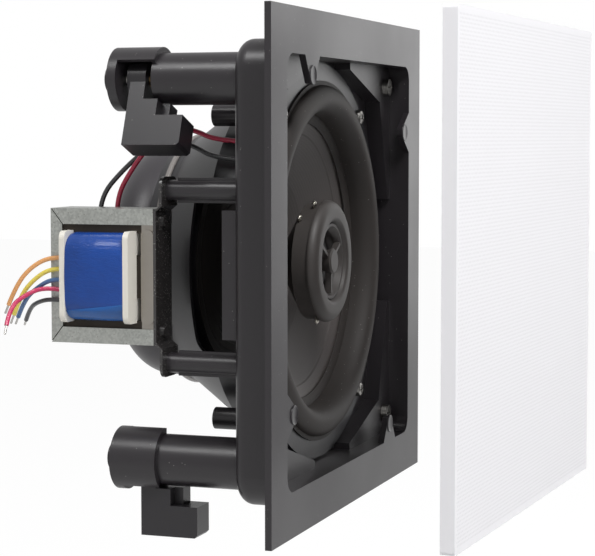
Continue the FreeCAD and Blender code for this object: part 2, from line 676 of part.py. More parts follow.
def cone():
    front = [(z.cone_edge, z.cone_front), (z.crease_radius + 0.6, z.crease_depth - 0.2),
             (z.crease_radius, z.crease_depth + 0.4), (z.cone_waist, z.waist_depth),
             (z.former_radius, z.cone_neck)]
    back = [(radius, depth + z.cone_sheet) for radius, depth in reversed(front)]
    return node("cone", revolve("cone_body", front + back))


def voice_coil():
    node("voice_coil_former", revolve("former_body", [
        (z.former_radius - z.former_wall, z.cone_neck - 1.0), (z.former_radius, z.cone_neck - 1.0),
        (z.former_radius, z.former_end), (z.former_radius - z.former_wall, z.former_end)]))
    node("voice_coil", revolve("coil_body", [
        (z.former_radius, z.coil_front), (z.former_radius + z.coil_build, z.coil_front),
        (z.former_radius + z.coil_build, z.coil_front + z.coil_length),
        (z.former_radius, z.coil_front + z.coil_length)]))


def spider():
    """Corrugated cloth between the former and the basket's ring."""
    start = z.former_radius + z.cone_gap
    stop = z.spider_radius - z.spider_rim
    waves = 9
    front = [(start, z.spider_front)]
    for k in range(1, waves):
        lift = z.spider_wave * (1 if k % 2 else -1) / 2
        front.append((start + (stop - start) * (k / waves), z.spider_front - lift))
    front += [(stop, z.spider_front), (z.spider_radius, z.spider_front)]
    back = [(radius, depth + z.spider_sheet) for radius, depth in reversed(front)]
    return node("spider", revolve("spider_body", front + back))


def motor():
    bore = z.former_radius + z.coil_build + z.gap_play
    pole = z.former_radius - z.former_wall - z.gap_play
    plate_back = z.basket_end + z.plate_thick
    magnet_back = plate_back + z.magnet_thick
    yoke_back = magnet_back + z.yoke_thick
    node("front_plate", revolve("front_plate_body", [
        (bore, z.basket_end), (z.plate_radius, z.basket_end), (z.plate_radius, plate_back),
        (bore, plate_back)]))
    node("magnet", revolve("magnet_body", [
        (z.magnet_bore, plate_back), (z.magnet_radius - 1.0, plate_back),
        (z.magnet_radius, plate_back + 1.0), (z.magnet_radius, magnet_back - 1.0),
        (z.magnet_radius - 1.0, magnet_back), (z.magnet_bore, magnet_back)]))
    node("yoke", revolve("yoke_body", [
        (z.stem_radius, z.basket_end), (pole - 0.8, z.basket_end), (pole, z.basket_end + 0.8),
        (pole, magnet_back), (z.yoke_radius, magnet_back), (z.yoke_radius, yoke_back),
        (z.stem_radius, yoke_back)]))
    arc = []
    radius, depth = z.cover_radius - z.cover_round, z.cover_back - z.cover_round
    for step in range(7):
        angle = math.radians(15.0 * step)
        arc.append((radius + z.cover_round * math.cos(angle), depth + z.cover_round * math.sin(angle)))
    inner_round = z.cover_round - z.cover_wall
    inner = [(radius + inner_round * math.cos(math.radians(15.0 * step)),
              depth + inner_round * math.sin(math.radians(15.0 * step))) for step in range(7)]
    node("magnet_cover", revolve("cover_body", [
        (z.magnet_radius + 1.0, z.basket_end), (z.cover_radius, z.basket_end)] + arc
        + [(0.0, z.cover_back), (0.0, z.cover_back - z.cover_wall)] + inner[::-1]
        + [(z.cover_radius - z.cover_wall, z.basket_end + z.cover_wall),
           (z.magnet_radius + 1.0, z.basket_end + z.cover_wall)]))


def driver_screws():
    made = []
    seat = z.floor_depth - z.flange_sheet
    for k, (side, rise) in enumerate(boss_places()):
        made.append(rod(f"driver_shank_{k}", z.tapping_radius, seat - 1.0, z.boss_end - z.screw_short, side, rise))
        made.append(rod(f"driver_head_{k}", z.pan_radius, seat - z.pan_height, seat, side, rise))
    return node("driver_screws", fuse("driver_screws_solid", *made))


# Tweeter on a stem through the motor.
def tweeter():
    yoke_back = z.basket_end + z.plate_thick + z.magnet_thick + z.yoke_thick
    node("tweeter_stem", revolve("stem_body", [
        (z.stem_bore, z.pod_back), (z.stem_radius, z.pod_back), (z.stem_radius, yoke_back),
        (z.stem_bore, yoke_back)]))
    node("tweeter_housing", revolve("pod_body", [
        (z.pod_radius - z.pod_wall, z.pod_front), (z.pod_radius, z.pod_front),
        (z.pod_radius, z.pod_shoulder), (z.pod_tail, z.pod_back), (z.stem_bore, z.pod_back),
        (z.stem_bore, z.motor_back), (z.motor_radius, z.motor_back),
        (z.pod_radius - z.pod_wall, z.pod_shoulder - z.pod_wall / 2)]))
    node("tweeter_magnet", revolve("tweeter_magnet_body", [
        (0.0, z.motor_front), (z.motor_radius, z.motor_front), (z.motor_radius, z.motor_back),
        (0.0, z.motor_back)]))
    dome = [(z.dome_radius * math.cos(math.radians(a)),
             z.motor_front - 0.9 - z.dome_height * math.sin(math.radians(a))) for a in (0, 22.5, 45, 67.5)]
    dome.append((0.0, z.motor_front - 0.9 - z.dome_height))
    node("tweeter_dome", revolve("dome_body", [
        (0.0, z.motor_front - 0.3), (z.horn_throat + 1.6, z.motor_front - 0.3),
        (z.horn_throat + 1.6, z.motor_front - 0.9)] + dome))
    node("tweeter_bezel", revolve("bezel_body", [
        (z.bezel_radius, z.pod_front), (z.bezel_radius, z.pod_front - 1.2),
        (z.bezel_radius - 2.4, z.pod_front - 2.7), (z.bezel_inner + 1.6, z.bezel_crest),
        (z.bezel_inner, z.bezel_crest + 0.4), (z.horn_throat, z.horn_depth), (z.horn_throat, z.motor_front - 0.9),
        (z.pod_radius - z.pod_wall - 3.0, z.motor_front - 0.9),
        (z.pod_radius - z.pod_wall - 3.0, z.pod_front)]))
    hub = revolve("plug_hub", [
        (0.0, z.plug_front), (z.plug_radius - 0.8, z.plug_front), (z.plug_radius, z.plug_front + 0.8),
        (z.plug_radius - 1.2, z.plug_back), (0.0, z.plug_back - 0.6)])
    flare = (z.bezel_inner - z.horn_throat) / (z.horn_depth - z.bezel_crest - 0.4)
    ring_front = z.plug_front + 1.4
    ring_back = z.plug_front + z.blade_depth
    front_edge = z.bezel_inner - (ring_front - z.bezel_crest - 0.4) * flare
    back_edge = z.bezel_inner - (ring_back - z.bezel_crest - 0.4) * flare
    ring = revolve("plug_ring", [(front_edge - 1.2, ring_front), (front_edge, ring_front),
                                 (back_edge, ring_back), (back_edge - 1.2, ring_back)])
    blades = []
    for k in range(3):
        blade = doc.addObject("Part::Box", f"blade_{k}")
        bind(blade, Length=back_edge - 0.6, Width=z.blade_depth - 1.4, Height=z.blade_thick)
        spin = FreeCAD.Rotation(FreeCAD.Vector(0, 1, 0), 90.0 + 120.0 * k)
        offset = spin.multVec(FreeCAD.Vector(0, 0, -z.blade_thick.value / 2))
        place(blade, (offset.x, z.plug_front + 1.4, offset.z), spin)
        blades.append(blade)
    node("phase_plug", fuse("phase_plug_solid", hub, ring, *blades))


# Line transformer on a strap across two posts.
def transformer():
    near = -z.core_near
    far = near + z.core_wide
    top = z.core_height / 2 - z.post_drop
    bottom = -z.core_height / 2 - z.post_drop
    front = z.core_front
    back = z.core_front + z.core_depth
    wall = z.clip_sheet
    solid = block("clip_solid", (near, front, bottom), (far, back, top))
    hollow = block("clip_hollow", (near + wall, front - 1.0, bottom + wall), (far - wall, back - wall, top - wall))
    window = block("clip_window", (near - 1.0, front - 1.0, bottom + z.clip_flange),
                   (far + 1.0, back - z.clip_flange_back, top - z.clip_flange))
    mitres = []
    for index, up in enumerate((1, -1), start=1):
        slit = doc.addObject("Part::Box", f"mitre_{index}")
        bind(slit, Length=z.clip_sheet * 1.5, Width=z.mitre_gap, Height=z.clip_flange + z.clip_flange_back)
        slope = math.degrees(math.atan2(z.clip_flange_back.value, z.clip_flange.value))
        turn = FreeCAD.Rotation(FreeCAD.Vector(1, 0, 0), 180 - slope if up == 1 else slope)
        place(slit, (near - z.clip_sheet * 0.25, back, top if up == 1 else bottom), turn)
        mitres.append(slit)
    node("transformer_frame", cut("clip_cut", solid, hollow, window, *mitres))

    middle = (top + bottom) / 2
    core = block("core_solid", (near + wall, front, bottom + wall), (far - wall, back - wall, top - wall))
    upper = block("core_window_1", (near, front + z.core_limb * 0.6, middle + z.core_centre / 2),
                  (far, back - wall - z.core_limb * 0.6, top - wall - z.core_limb))
    lower = block("core_window_2", (near, front + z.core_limb * 0.6, bottom + wall + z.core_limb),
                  (far, back - wall - z.core_limb * 0.6, middle - z.core_centre / 2))
    plate = softened("side_plate_rounded", block("side_plate_solid", (near + wall * 0.2, front, middle - z.coil_height / 2 - 1.0),
                                                 (near + wall + 1.0, front + z.side_plate, middle + z.coil_height / 2 + 1.0)),
                     lambda e: abs(e.Length - (wall * 0.8 + 1.0).value) < 1e-6, z.plate_corner)
    node("transformer_core", fuse("core_fused", cut("core_cut", core, upper, lower), plate))

    cheek_front = front + z.core_limb * 0.6 + 2.4
    cheek_back = back - wall - z.core_limb * 0.6 - 1.2
    half = z.cheek_height / 2
    pieces = []
    for name, start in (("front", cheek_front), ("back", cheek_back - z.former_cheek)):
        cheek = block(f"cheek_{name}", (near - z.cheek_reach, start, middle - half),
                      (far + z.far_reach, start + z.former_cheek, middle + half))
        pieces.append(softened(f"cheek_{name}_rounded", cheek, along_y, z.cheek_corner))
    around = z.core_centre / 2 + z.tube_wall
    tube = block("former_tube", (near - z.tube_wall, cheek_front, middle - around),
                 (far + z.tube_wall, cheek_back, middle + around))
    pieces.append(tube)
    coil_half = z.coil_height / 2
    coil = block("coil_block", (near - z.coil_reach, cheek_front + z.former_cheek, middle - coil_half),
                 (far + z.far_reach + 0.6, cheek_back - z.former_cheek, middle + coil_half))
    rounded = softened("coil_rounded", coil, along_y, z.coil_corner)
    node("coil_former", cut("former_cut", fuse("former_solid", *pieces), nodes["transformer_core"],
                            nodes["transformer_frame"]))
    node("transformer_winding", cut("winding_cut", rounded, nodes["transformer_core"],
                                    nodes["transformer_frame"], tube))


def strap():
    """The strap across the posts that carries the transformer, with its screws and rivets."""
    made = body("strap_body")
    back = z.core_front
    frame_top = z.core_height / 2
    ear = z.post_spread + z.strap_ear
    step = z.strap_step
    outer, inner = [], []
    for up in (1, -1):
        side = [(back - step, ear * up), (back - step, (frame_top + 1.3) * up), (back, (frame_top - 0.9) * up)]
        inner += side if up == 1 else side[::-1]
    outer = [(y - z.strap_sheet, rise) for y, rise in reversed(inner)]
    profile = outline(made, "strap_outline", "YZ_Plane", inner + outer)
    pad = feature(made, "Pad", "strap_pad", profile, z.strap_width, False)
    ends = ear.value
    dress(made, "Fillet", "strap_ears", pad, lambda e, m: along_y(e) and abs(abs(m.z) - ends) < 1e-6,
          z.strap_corner)
    front = back - step - z.strap_sheet
    holes = circles(made, "strap_holes", "XZ_Plane",
                    [(z.core_near - z.post_side, z.post_spread), (z.core_near - z.post_side, -z.post_spread)],
                    z.tapping_radius, -(front - 1.0))
    feature(made, "Pocket", "strap_hole_cut", holes, z.strap_sheet + 2.0, False)
    rivet_holes = circles(made, "strap_rivet_holes", "XZ_Plane",
                          [(z.core_near - z.post_side, z.rivet_spread),
                           (z.core_near - z.post_side, -z.rivet_spread)],
                          z.rivet_shank, -(back - z.strap_sheet - 1.0))
    feature(made, "Pocket", "strap_rivet_cut", rivet_holes, z.strap_sheet + 2.0, False)
    place(made, (-z.core_near, 0.0, -z.post_drop))
    node("transformer_strap", made)
    screws, rivets = [], []
    for k, up in enumerate((1, -1)):
        rise = z.post_spread * up - z.post_drop
        screws.append(rod(f"strap_screw_{k}", z.tapping_radius, z.post_end - 9.0, z.post_end + z.strap_sheet,
                          -z.post_side, rise))
        screws.append(rod(f"strap_head_{k}", z.pan_radius, z.post_end + z.strap_sheet,
                          z.post_end + z.strap_sheet + 1.4, -z.post_side, rise))
        rise = z.rivet_spread * up - z.post_drop
        rivets.append(rod(f"rivet_shank_{k}", z.rivet_shank, back - z.strap_sheet, back, -z.post_side, rise))
        rivets.append(rod(f"rivet_head_{k}", z.rivet_radius, back - z.strap_sheet - 1.0,
                          back - z.strap_sheet, -z.post_side, rise))
    node("strap_screws", fuse("strap_screws_solid", *screws))
    node("strap_rivets", fuse("strap_rivets_solid", *rivets))


# Leads: straight runs joined by tangent arcs, each arc as large as its shorter run allows.
def cord(name, radius, points):
    """A round cord through a list of points, each one named once here."""
    corners = [FreeCAD.Vector(*[Size.of(c).value for c in point]) for point in points]
    pieces, here, radii = [], corners[0], []
    for before, corner, after in zip(corners, corners[1:], corners[2:]):
        back, ahead = before - corner, after - corner
        turn = math.pi - back.getAngle(ahead)
        reach = 0.45 * min(back.Length, ahead.Length)
        bend = reach / math.tan(turn / 2)
        start = corner + back.normalize() * reach
        end = corner + ahead.normalize() * reach
        toward = (back + ahead).normalize()
        middle = corner + toward * (bend / math.cos(turn / 2) - bend)
        pieces.append(Part.LineSegment(here, start).toShape())
        pieces.append(Part.Arc(start, middle, end).toShape())
        radii.append(round(bend, 1))
        here = end
    pieces.append(Part.LineSegment(here, corners[-1]).toShape())
    path = Part.Wire(pieces)
    ring = Part.Wire(Part.makeCircle(radius.value, corners[0], corners[1] - corners[0]))
    made = doc.addObject("Part::Feature", name + "_tube")
    made.Shape = path.makePipeShell([ring], True, False)
    print(f"cord {name}: length {path.Length:.1f}, diameter {2 * radius.value:.2f}, bend radii {radii}")
    return node(name, made)


def leads():
    """The two driver leads and the five transformer leads with their bare ends."""
    rear = z.core_front + z.core_depth - z.clip_sheet - z.core_limb * 0.6 - 1.2
    top = z.coil_height / 2 - z.post_drop
    side = -z.core_near + z.core_wide + z.far_reach - 1.4
    floor = z.floor_depth + 1.0
    across = z.lead_side
    cord("lead_black", z.lead_radius,
         [(side, 89.4, top - 0.5), (side, 91.8, 28.0), (across + 2.9, 78.4, 44.0),
          (across + 2.9, 63.4, 54.5), (across + 1.5, 49.5, 52.8), (across, 36.0, z.black_rise),
          (across, floor, z.black_rise)])
    cord("lead_red", z.lead_radius,
         [(side, 81.6, top - 0.5), (side, 83.4, 28.0), (across, 74.2, 44.0), (across, 61.5, 58.0),
          (across, 48.5, 59.2), (across, 36.0, z.red_rise), (across, floor, z.red_rise)])
    tap = -z.core_near - z.tap_side
    ends = []
    for name, rise, run in TAP_LEADS:
        points = [(tap, rear, rise)] + [(tap + x, rear + y, up) for x, y, up in run]
        cord(name, z.tap_radius, points)
        last, before = [FreeCAD.Vector(*[Size.of(c).value for c in point]) for point in (points[-1], points[-2])]
        bare = doc.addObject("Part::Feature", name + "_bare")
        bare.Shape = Part.makeCylinder(z.bare_radius.value, z.bare_length.value, last, last - before)
        ends.append(bare)
    node("tap_lead_ends", fuse("tap_ends_solid", *ends))


TAP_LEADS = [
    ("tap_lead_orange", 5.6, [(0.0, 6.4, 5.6), (-0.9, 14.8, 0.4), (-1.5, 21.0, -7.6), (-1.3, 25.0, -16.6)]),
    ("tap_lead_yellow", 0.9, [(0.0, 5.8, 0.9), (-0.4, 13.4, -4.4), (-0.8, 19.2, -11.6), (-0.9, 22.6, -20.6)]),
    ("tap_lead_blue", -3.5, [(0.0, 5.4, -3.5), (0.8, 12.2, -8.4), (2.2, 17.6, -14.6), (4.4, 20.6, -22.4)]),
    ("tap_lead_pink", -7.9, [(0.0, 5.6, -7.9), (-2.6, 12.8, -12.2), (-6.6, 18.8, -17.4), (-12.0, 22.2, -25.2)]),
    ("tap_lead_black", -12.3, [(0.0, 5.4, -12.3), (3.4, 12.2, -15.6), (8.6, 17.6, -20.0), (15.6, 20.8, -26.4)]),
]


# Grille: a folded sheet, open at the back, taken off and set in front of the flange.
def grille():
    pan = body("grille_body")
    half = z.grille_side / 2
    pad = feature(pan, "Pad", "grille_pad", outline(pan, "grille_outline", "XZ_Plane", square(half)),
                  z.grille_depth, True)
    dress(pan, "Fillet", "grille_corners", pad, lambda e, m: along_y(e), z.grille_corner)
    inside = square(half - z.grille_sheet)
    feature(pan, "Pocket", "grille_inside",
            outline(pan, "grille_inside_outline", "XZ_Plane", inside, -z.grille_sheet),
            z.grille_depth - z.grille_sheet, False)
    place(pan, (0.0, -z.grille_stand, 0.0), FreeCAD.Rotation(FreeCAD.Vector(0, 0, 1), -z.grille_turn.value))
    pan.setExpression("Placement.Rotation.Angle", (-z.grille_turn).text)
    return node("grille", pan)


front_moulding()
for number, (side, rise) in enumerate(tower_places(), start=1):
    clamp(number, side, rise)
basket()
surround()
cone()
voice_coil()
spider()
motor()
driver_screws()
tweeter()
transformer()
strap()
leads()
grille()

doc.recompute()
failed = [thing.Name for thing in doc.Objects if "Invalid" in thing.State or "Error" in thing.State]
if failed:
    raise RuntimeError(f"these objects failed: {failed}")
for name, made in nodes.items():
    shape = made.Shape
    if shape.isNull() or not shape.isValid():
        raise RuntimeError(f"{name} has no valid shape")

os.makedirs("parts", exist_ok=True)
for name, made in nodes.items():
    made.Shape.exportStep(f"parts/{name}.step")
    box = made.Shape.BoundBox
    print(f"{name}: {len(made.Shape.Solids)} solids, {made.Shape.Volume:.1f} mm3, "
          f"x {box.XMin:.1f} {box.XMax:.1f} y {box.YMin:.1f} {box.YMax:.1f} z {box.ZMin:.1f} {box.ZMax:.1f}")
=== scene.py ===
"""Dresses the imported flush-mount loudspeaker: finishes, soft parts, leads, light and camera."""

from __future__ import annotations

import logging
import math
from collections.abc import Callable
from dataclasses import dataclass, field
from enum import Enum
from functools import cache

import bpy
from mathutils import Matrix, Vector

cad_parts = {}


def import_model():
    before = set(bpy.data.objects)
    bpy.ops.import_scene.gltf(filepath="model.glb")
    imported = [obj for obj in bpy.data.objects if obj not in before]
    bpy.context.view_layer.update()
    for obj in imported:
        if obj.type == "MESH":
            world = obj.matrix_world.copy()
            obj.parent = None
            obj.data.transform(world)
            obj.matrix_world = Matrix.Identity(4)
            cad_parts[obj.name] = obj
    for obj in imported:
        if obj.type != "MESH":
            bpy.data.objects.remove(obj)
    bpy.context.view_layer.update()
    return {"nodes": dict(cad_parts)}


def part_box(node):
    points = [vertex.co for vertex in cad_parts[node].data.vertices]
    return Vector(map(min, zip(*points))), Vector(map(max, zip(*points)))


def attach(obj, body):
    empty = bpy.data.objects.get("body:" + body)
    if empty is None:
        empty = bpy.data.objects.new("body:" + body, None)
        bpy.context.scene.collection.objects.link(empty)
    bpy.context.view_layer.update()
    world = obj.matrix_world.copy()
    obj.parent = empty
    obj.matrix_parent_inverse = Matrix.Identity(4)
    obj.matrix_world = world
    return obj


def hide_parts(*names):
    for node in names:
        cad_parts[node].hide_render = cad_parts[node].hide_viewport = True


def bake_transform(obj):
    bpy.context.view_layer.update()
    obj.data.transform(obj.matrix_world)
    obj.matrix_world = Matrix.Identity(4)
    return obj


LOG = logging.getLogger("loudspeaker")
MM = 0.001
CORNERS = 4
# A face looks along an axis when its normal has at least this much of it.
SQUARE = 0.99

Point = tuple[float, float, float]
Colour = tuple[float, float, float, float]
Pair = tuple[float, float]
Profile = list[Pair]
Socket = bpy.types.NodeSocket
Sockets = bpy.types.bpy_prop_collection
Node = bpy.types.Node
Tree = bpy.types.NodeTree
Material = bpy.types.Material
Piece = bpy.types.Object


def linear(red: int, green: int, blue: int) -> Colour:
    """Turn a screen colour, each part 0 to 255, into the renderer's own scale by the sRGB curve."""
    parts = [level / 255 for level in (red, green, blue)]
    scaled = [part / 12.92 if part <= 0.04045 else ((part + 0.055) / 1.055) ** 2.4 for part in parts]
    return (*scaled, 1.0)


def shade(colour: Colour, factor: float) -> Colour:
    """Make a colour lighter or darker."""
    return (*(min(part * factor, 1.0) for part in colour[:3]), 1.0)


def arc(centre: Pair, radius: float, first: float, last: float, steps: int) -> Profile:
    """Work out points along an arc of a turned profile.

    Args:
        centre: Radius and depth of the arc's centre, in millimetres.
        radius: The arc's radius.
        first: Angle of the first point in degrees, 0 being away from the axis and 90 rearwards.
        last: Angle of the last point.
        steps: Runs along the arc.

    Returns:
        Radius and depth of each point.
    """
    turns = [math.radians(first + (last - first) * step / steps) for step in range(steps + 1)]
    return [(centre[0] + radius * math.cos(turn), centre[1] + radius * math.sin(turn)) for turn in turns]


class Graph:
    """A node tree that is filled from short calls."""

    def __init__(self, tree: Tree) -> None:
        """Start from an existing tree."""
        self.tree = tree

    def put(self, socket: Socket, value: object) -> None:
        """Give an input a value, or link another node's output to it."""
        if isinstance(value, Socket):
            self.tree.links.new(value, socket)
        else:
            socket.default_value = value

    def add(self, kind: str, **settings: object) -> Node:
        """Add a node of a kind and set its properties."""
        node = self.tree.nodes.new(kind)
        for name, value in settings.items():
            setattr(node, name, value)
        return node

    def feed(self, node: Node, **inputs: object) -> Node:
        """Set or link a node's inputs by name, with underscores for spaces, and give the node back."""
        for name, value in inputs.items():
            self.put(node.inputs[name.replace("_", " ")], value)
        return node

    def make(self, kind: str, **inputs: object) -> Node:
        """Add a node and feed its inputs."""
        return self.feed(self.add(kind), **inputs)

    def group(self, name: str, **inputs: object) -> Sockets:
        """Add one of the shared groups and give its outputs."""
        return self.feed(self.add("ShaderNodeGroup", node_tree=shared(name)), **inputs).outputs

    def math(self, operation: str, *values: object) -> Socket:
        """Work out one operation on numbers or sockets and give the result's socket."""
        node = self.add("ShaderNodeMath", operation=operation)
        for socket, value in zip(node.inputs, values):
            self.put(socket, value)
        return node.outputs[0]

    def between(self, factor: Socket, low: float, high: float) -> Socket:
        """Go from one number to another as a factor goes from 0 to 1."""
        return self.math("MULTIPLY_ADD", factor, high - low, low)

    def spread(self, factor: Socket, middle: float, reach: float) -> Socket:
        """Spread a number evenly about its middle as a factor goes from 0 to 1."""
        return self.between(factor, middle - reach, middle + reach)

    def wave(self, angle: Socket) -> Socket:
        """Make a wave from 0 to 1 out of an angle in radians."""
        return self.between(self.math("SINE", angle), 0.5, 1.0)

    def mix(self, factor: object, first: object, second: object) -> Socket:
        """Mix two colours, by how much there is of the second."""
        node = self.add("ShaderNodeMix", data_type="RGBA")
        # The node's colour sockets come after those for numbers and vectors.
        for place, value in ((0, factor), (6, first), (7, second)):
            self.put(node.inputs[place], value)
        return node.outputs[2]

    def place(self) -> Socket:
        """Give the place on the object that is being shaded."""
        return self.add("ShaderNodeTexCoord").outputs["Object"]

    def axes(self, vector: Socket) -> Sockets:
        """Split a vector into X, Y and Z."""
        return self.make("ShaderNodeSeparateXYZ", Vector=vector).outputs

    def noise(self, place: Socket, scale: object, detail: float, roughness: float,
              distortion: float = 0.0) -> Socket:
        """Give cloudy noise from 0 to 1."""
        return self.make("ShaderNodeTexNoise", Vector=place, Scale=scale, Detail=detail, Roughness=roughness,
                         Distortion=distortion).outputs[0]

    def red(self, colour: Socket) -> Socket:
        """Give a colour's red, which is a chance number for a cell's own colour."""
        return self.make("ShaderNodeSeparateColor", Color=colour).outputs[0]


class GroupGraph(Graph):
    """A shader group in the making, with numbers going in and out."""

    def __init__(self, name: str, inputs: tuple[str, ...], outputs: tuple[str, ...]) -> None:
        """Start the group with the names of its inputs and outputs."""
        super().__init__(bpy.data.node_groups.new(name, "ShaderNodeTree"))
        for way, labels in (("INPUT", inputs), ("OUTPUT", outputs)):
            for label in labels:
                self.tree.interface.new_socket(label, in_out=way, socket_type="NodeSocketFloat")
        self.given = self.add("NodeGroupInput").outputs

    def give(self, **outputs: Socket) -> Tree:
        """Link the group's outputs by name and give the finished group."""
        self.make("NodeGroupOutput", **outputs)
        return self.tree


def grain_group() -> Tree:
    """Build the fine grain that every surface shares: a height, and a slow patchiness from 0 to 1."""
    graph = GroupGraph("Surface_Grain", ("Scale", "Patch"), ("Height", "Patchiness"))
    fine = graph.noise(graph.place(), graph.given["Scale"], 3.0, 0.6)
    slow = graph.noise(graph.place(), graph.given["Patch"], 4.0, 0.55)
    return graph.give(Height=fine, Patchiness=slow)


def rings_group() -> Tree:
    """Build rings round the driver's axis: a wave from 0 to 1 of the distance from that axis."""
    graph = GroupGraph("Axis_Rings", ("Count",), ("Height",))
    across, _, up = graph.axes(graph.place())
    squared = graph.math("MULTIPLY_ADD", across, across, graph.math("MULTIPLY", up, up))
    angle = graph.math("MULTIPLY", graph.math("SQRT", squared), graph.given["Count"])
    return graph.give(Height=graph.wave(angle))


def stripes_group() -> Tree:
    """Build even stripes along one axis: sheets, threads or turns of wire."""
    graph = GroupGraph("Even_Stripes", ("Along X", "Along Y", "Along Z"), ("Height",))
    total = 0.0
    for axis, turns in zip(graph.axes(graph.place()), graph.given):
        total = graph.math("MULTIPLY_ADD", axis, turns, total)
    return graph.give(Height=graph.wave(total))


def dust_group() -> Tree:
    """Build scattered specks: a mask that is 1 on a speck and 0 elsewhere."""
    graph = GroupGraph("Dust_Specks", ("Scale", "Size", "Share"), ("Mask",))
    cells = graph.make("ShaderNodeTexVoronoi", Vector=graph.place(), Scale=graph.given["Scale"])
    chosen = graph.math("LESS_THAN", graph.red(cells.outputs["Color"]), graph.given["Share"])
    near = graph.math("LESS_THAN", cells.outputs["Distance"], graph.given["Size"])
    return graph.give(Mask=graph.math("MULTIPLY", chosen, near))


@cache
def shared(name: str) -> Tree:
    """Give a shader group by its short name, building it the first time."""
    builders = {"grain": grain_group, "rings": rings_group, "stripes": stripes_group, "dust": dust_group}
    return builders[name]()


class Surface(Graph):
    """A material in the making: its shader, and the grain that every finish shares."""

    def __init__(self, name: str, grain: float, patch: float) -> None:
        """Make a material with a Principled shader.

        Args:
            name: The material's name.
            grain: Scale of the fine grain, per metre.
            patch: Scale of the slow patchiness, per metre.
        """
        self.material = bpy.data.materials.new(name)
        self.material.use_nodes = True
        super().__init__(self.material.node_tree)
        self.shader = self.tree.nodes["Principled BSDF"]
        grains = self.group("grain", Scale=grain, Patch=patch)
        self.height, self.patch = grains["Height"], grains["Patchiness"]

    def mottle(self, tone: Socket, colour: Colour, low: float, high: float) -> Socket:
        """Vary a colour from a darker to a lighter shade of it as a tone goes from 0 to 1."""
        return self.mix(tone, shade(colour, low), shade(colour, high))

    def finish(self, colour: object, roughness: object, relief: tuple[object, float, float],
               **others: object) -> Material:
        """Set the shader's inputs and raise the surface.

        Args:
            colour: A colour, or a socket.
            roughness: A number, or a socket.
            relief: The bump's height socket, its strength, and its depth in metres.
            others: The shader's other inputs, with underscores for spaces.

        Returns:
            The finished material.
        """
        height, strength, depth = relief
        bump = self.make("ShaderNodeBump", Height=height, Strength=strength, Distance=depth)
        self.feed(self.shader, Base_Color=colour, Roughness=roughness, Normal=bump.outputs[0], **others)
        return self.material


@dataclass(frozen=True)
class Dust:
    """Specks that lie on a surface."""

    scale: float
    size: float
    cover: float
    colour: Colour

    def scatter(self, surface: Surface, under: Socket, share: float) -> Socket:
        """Lay specks over a colour, in a share of the cells, or none if that is 0."""
        if not share:
            return under
        mask = surface.group("dust", Scale=self.scale, Size=self.size, Share=share)[0]
        return surface.mix(surface.math("MULTIPLY", mask, self.cover), under, self.colour)


LINT = Dust(1100.0, 0.24, 0.5, linear(150, 148, 144))
DIRT = Dust(1500.0, 0.3, 0.75, linear(120, 118, 112))


@dataclass(frozen=True)
class Moulded:
    """Moulded plastic, rubber or sheet: a fine grain, patches of gloss, and rings or specks of dust."""

    name: str
    colour: Colour
    roughness: float
    grain_scale: float = 1400.0
    depth: float = 0.00004
    uneven: float = 0.14
    coat: float = 0.0
    dust: float = 0.0
    specular: float = 0.5
    patch_scale: float = 14.0
    gloss_range: float = 0.1
    relief: float = 0.5
    rings: float = 0.0

    def build(self) -> Material:
        """Make the material."""
        surface = Surface(self.name, self.grain_scale, self.patch_scale)
        colour = surface.mottle(surface.patch, self.colour, 1 - self.uneven, 1 + self.uneven)
        height = surface.height
        if self.rings:
            height = surface.math("ADD", surface.group("rings", Count=self.rings)[0], height)
        return surface.finish(LINT.scatter(surface, colour, self.dust),
                              surface.spread(surface.patch, self.roughness, self.gloss_range),
                              (height, self.relief, self.depth),
                              Coat_Weight=self.coat, Specular_IOR_Level=self.specular)


@dataclass(frozen=True)
class Metal:
    """Bare or plated metal with drawn lines, a spangle, or dirt that dulls it."""

    name: str
    colour: Colour
    roughness: float
    spangle: float = 0.0
    stripes: Point = (0.0, 0.0, 0.0)
    depth: float = 0.00002
    low: float = 0.78
    high: float = 1.15
    dust: float = 0.0
    grain_scale: float = 2200.0
    patch_scale: float = 60.0
    gloss_range: float = 0.12
    relief: float = 0.6

    def build(self) -> Material:
        """Make the material."""
        surface = Surface(self.name, self.grain_scale, self.patch_scale)
        tone, height = surface.patch, surface.height
        if self.spangle:
            flake = surface.make("ShaderNodeTexVoronoi", Vector=surface.place(), Scale=self.spangle)
            half = surface.math("MULTIPLY", surface.patch, 0.5)
            tone = surface.math("MULTIPLY_ADD", surface.red(flake.outputs["Color"]), 0.5, half)
        if any(self.stripes):
            along = dict(zip(("Along_X", "Along_Y", "Along_Z"), self.stripes))
            height = surface.group("stripes", **along)[0]
        colour = DIRT.scatter(surface, surface.mottle(tone, self.colour, self.low, self.high), self.dust)
        return surface.finish(colour, surface.spread(tone, self.roughness, self.gloss_range),
                              (height, self.relief, self.depth), Metallic=1.0)


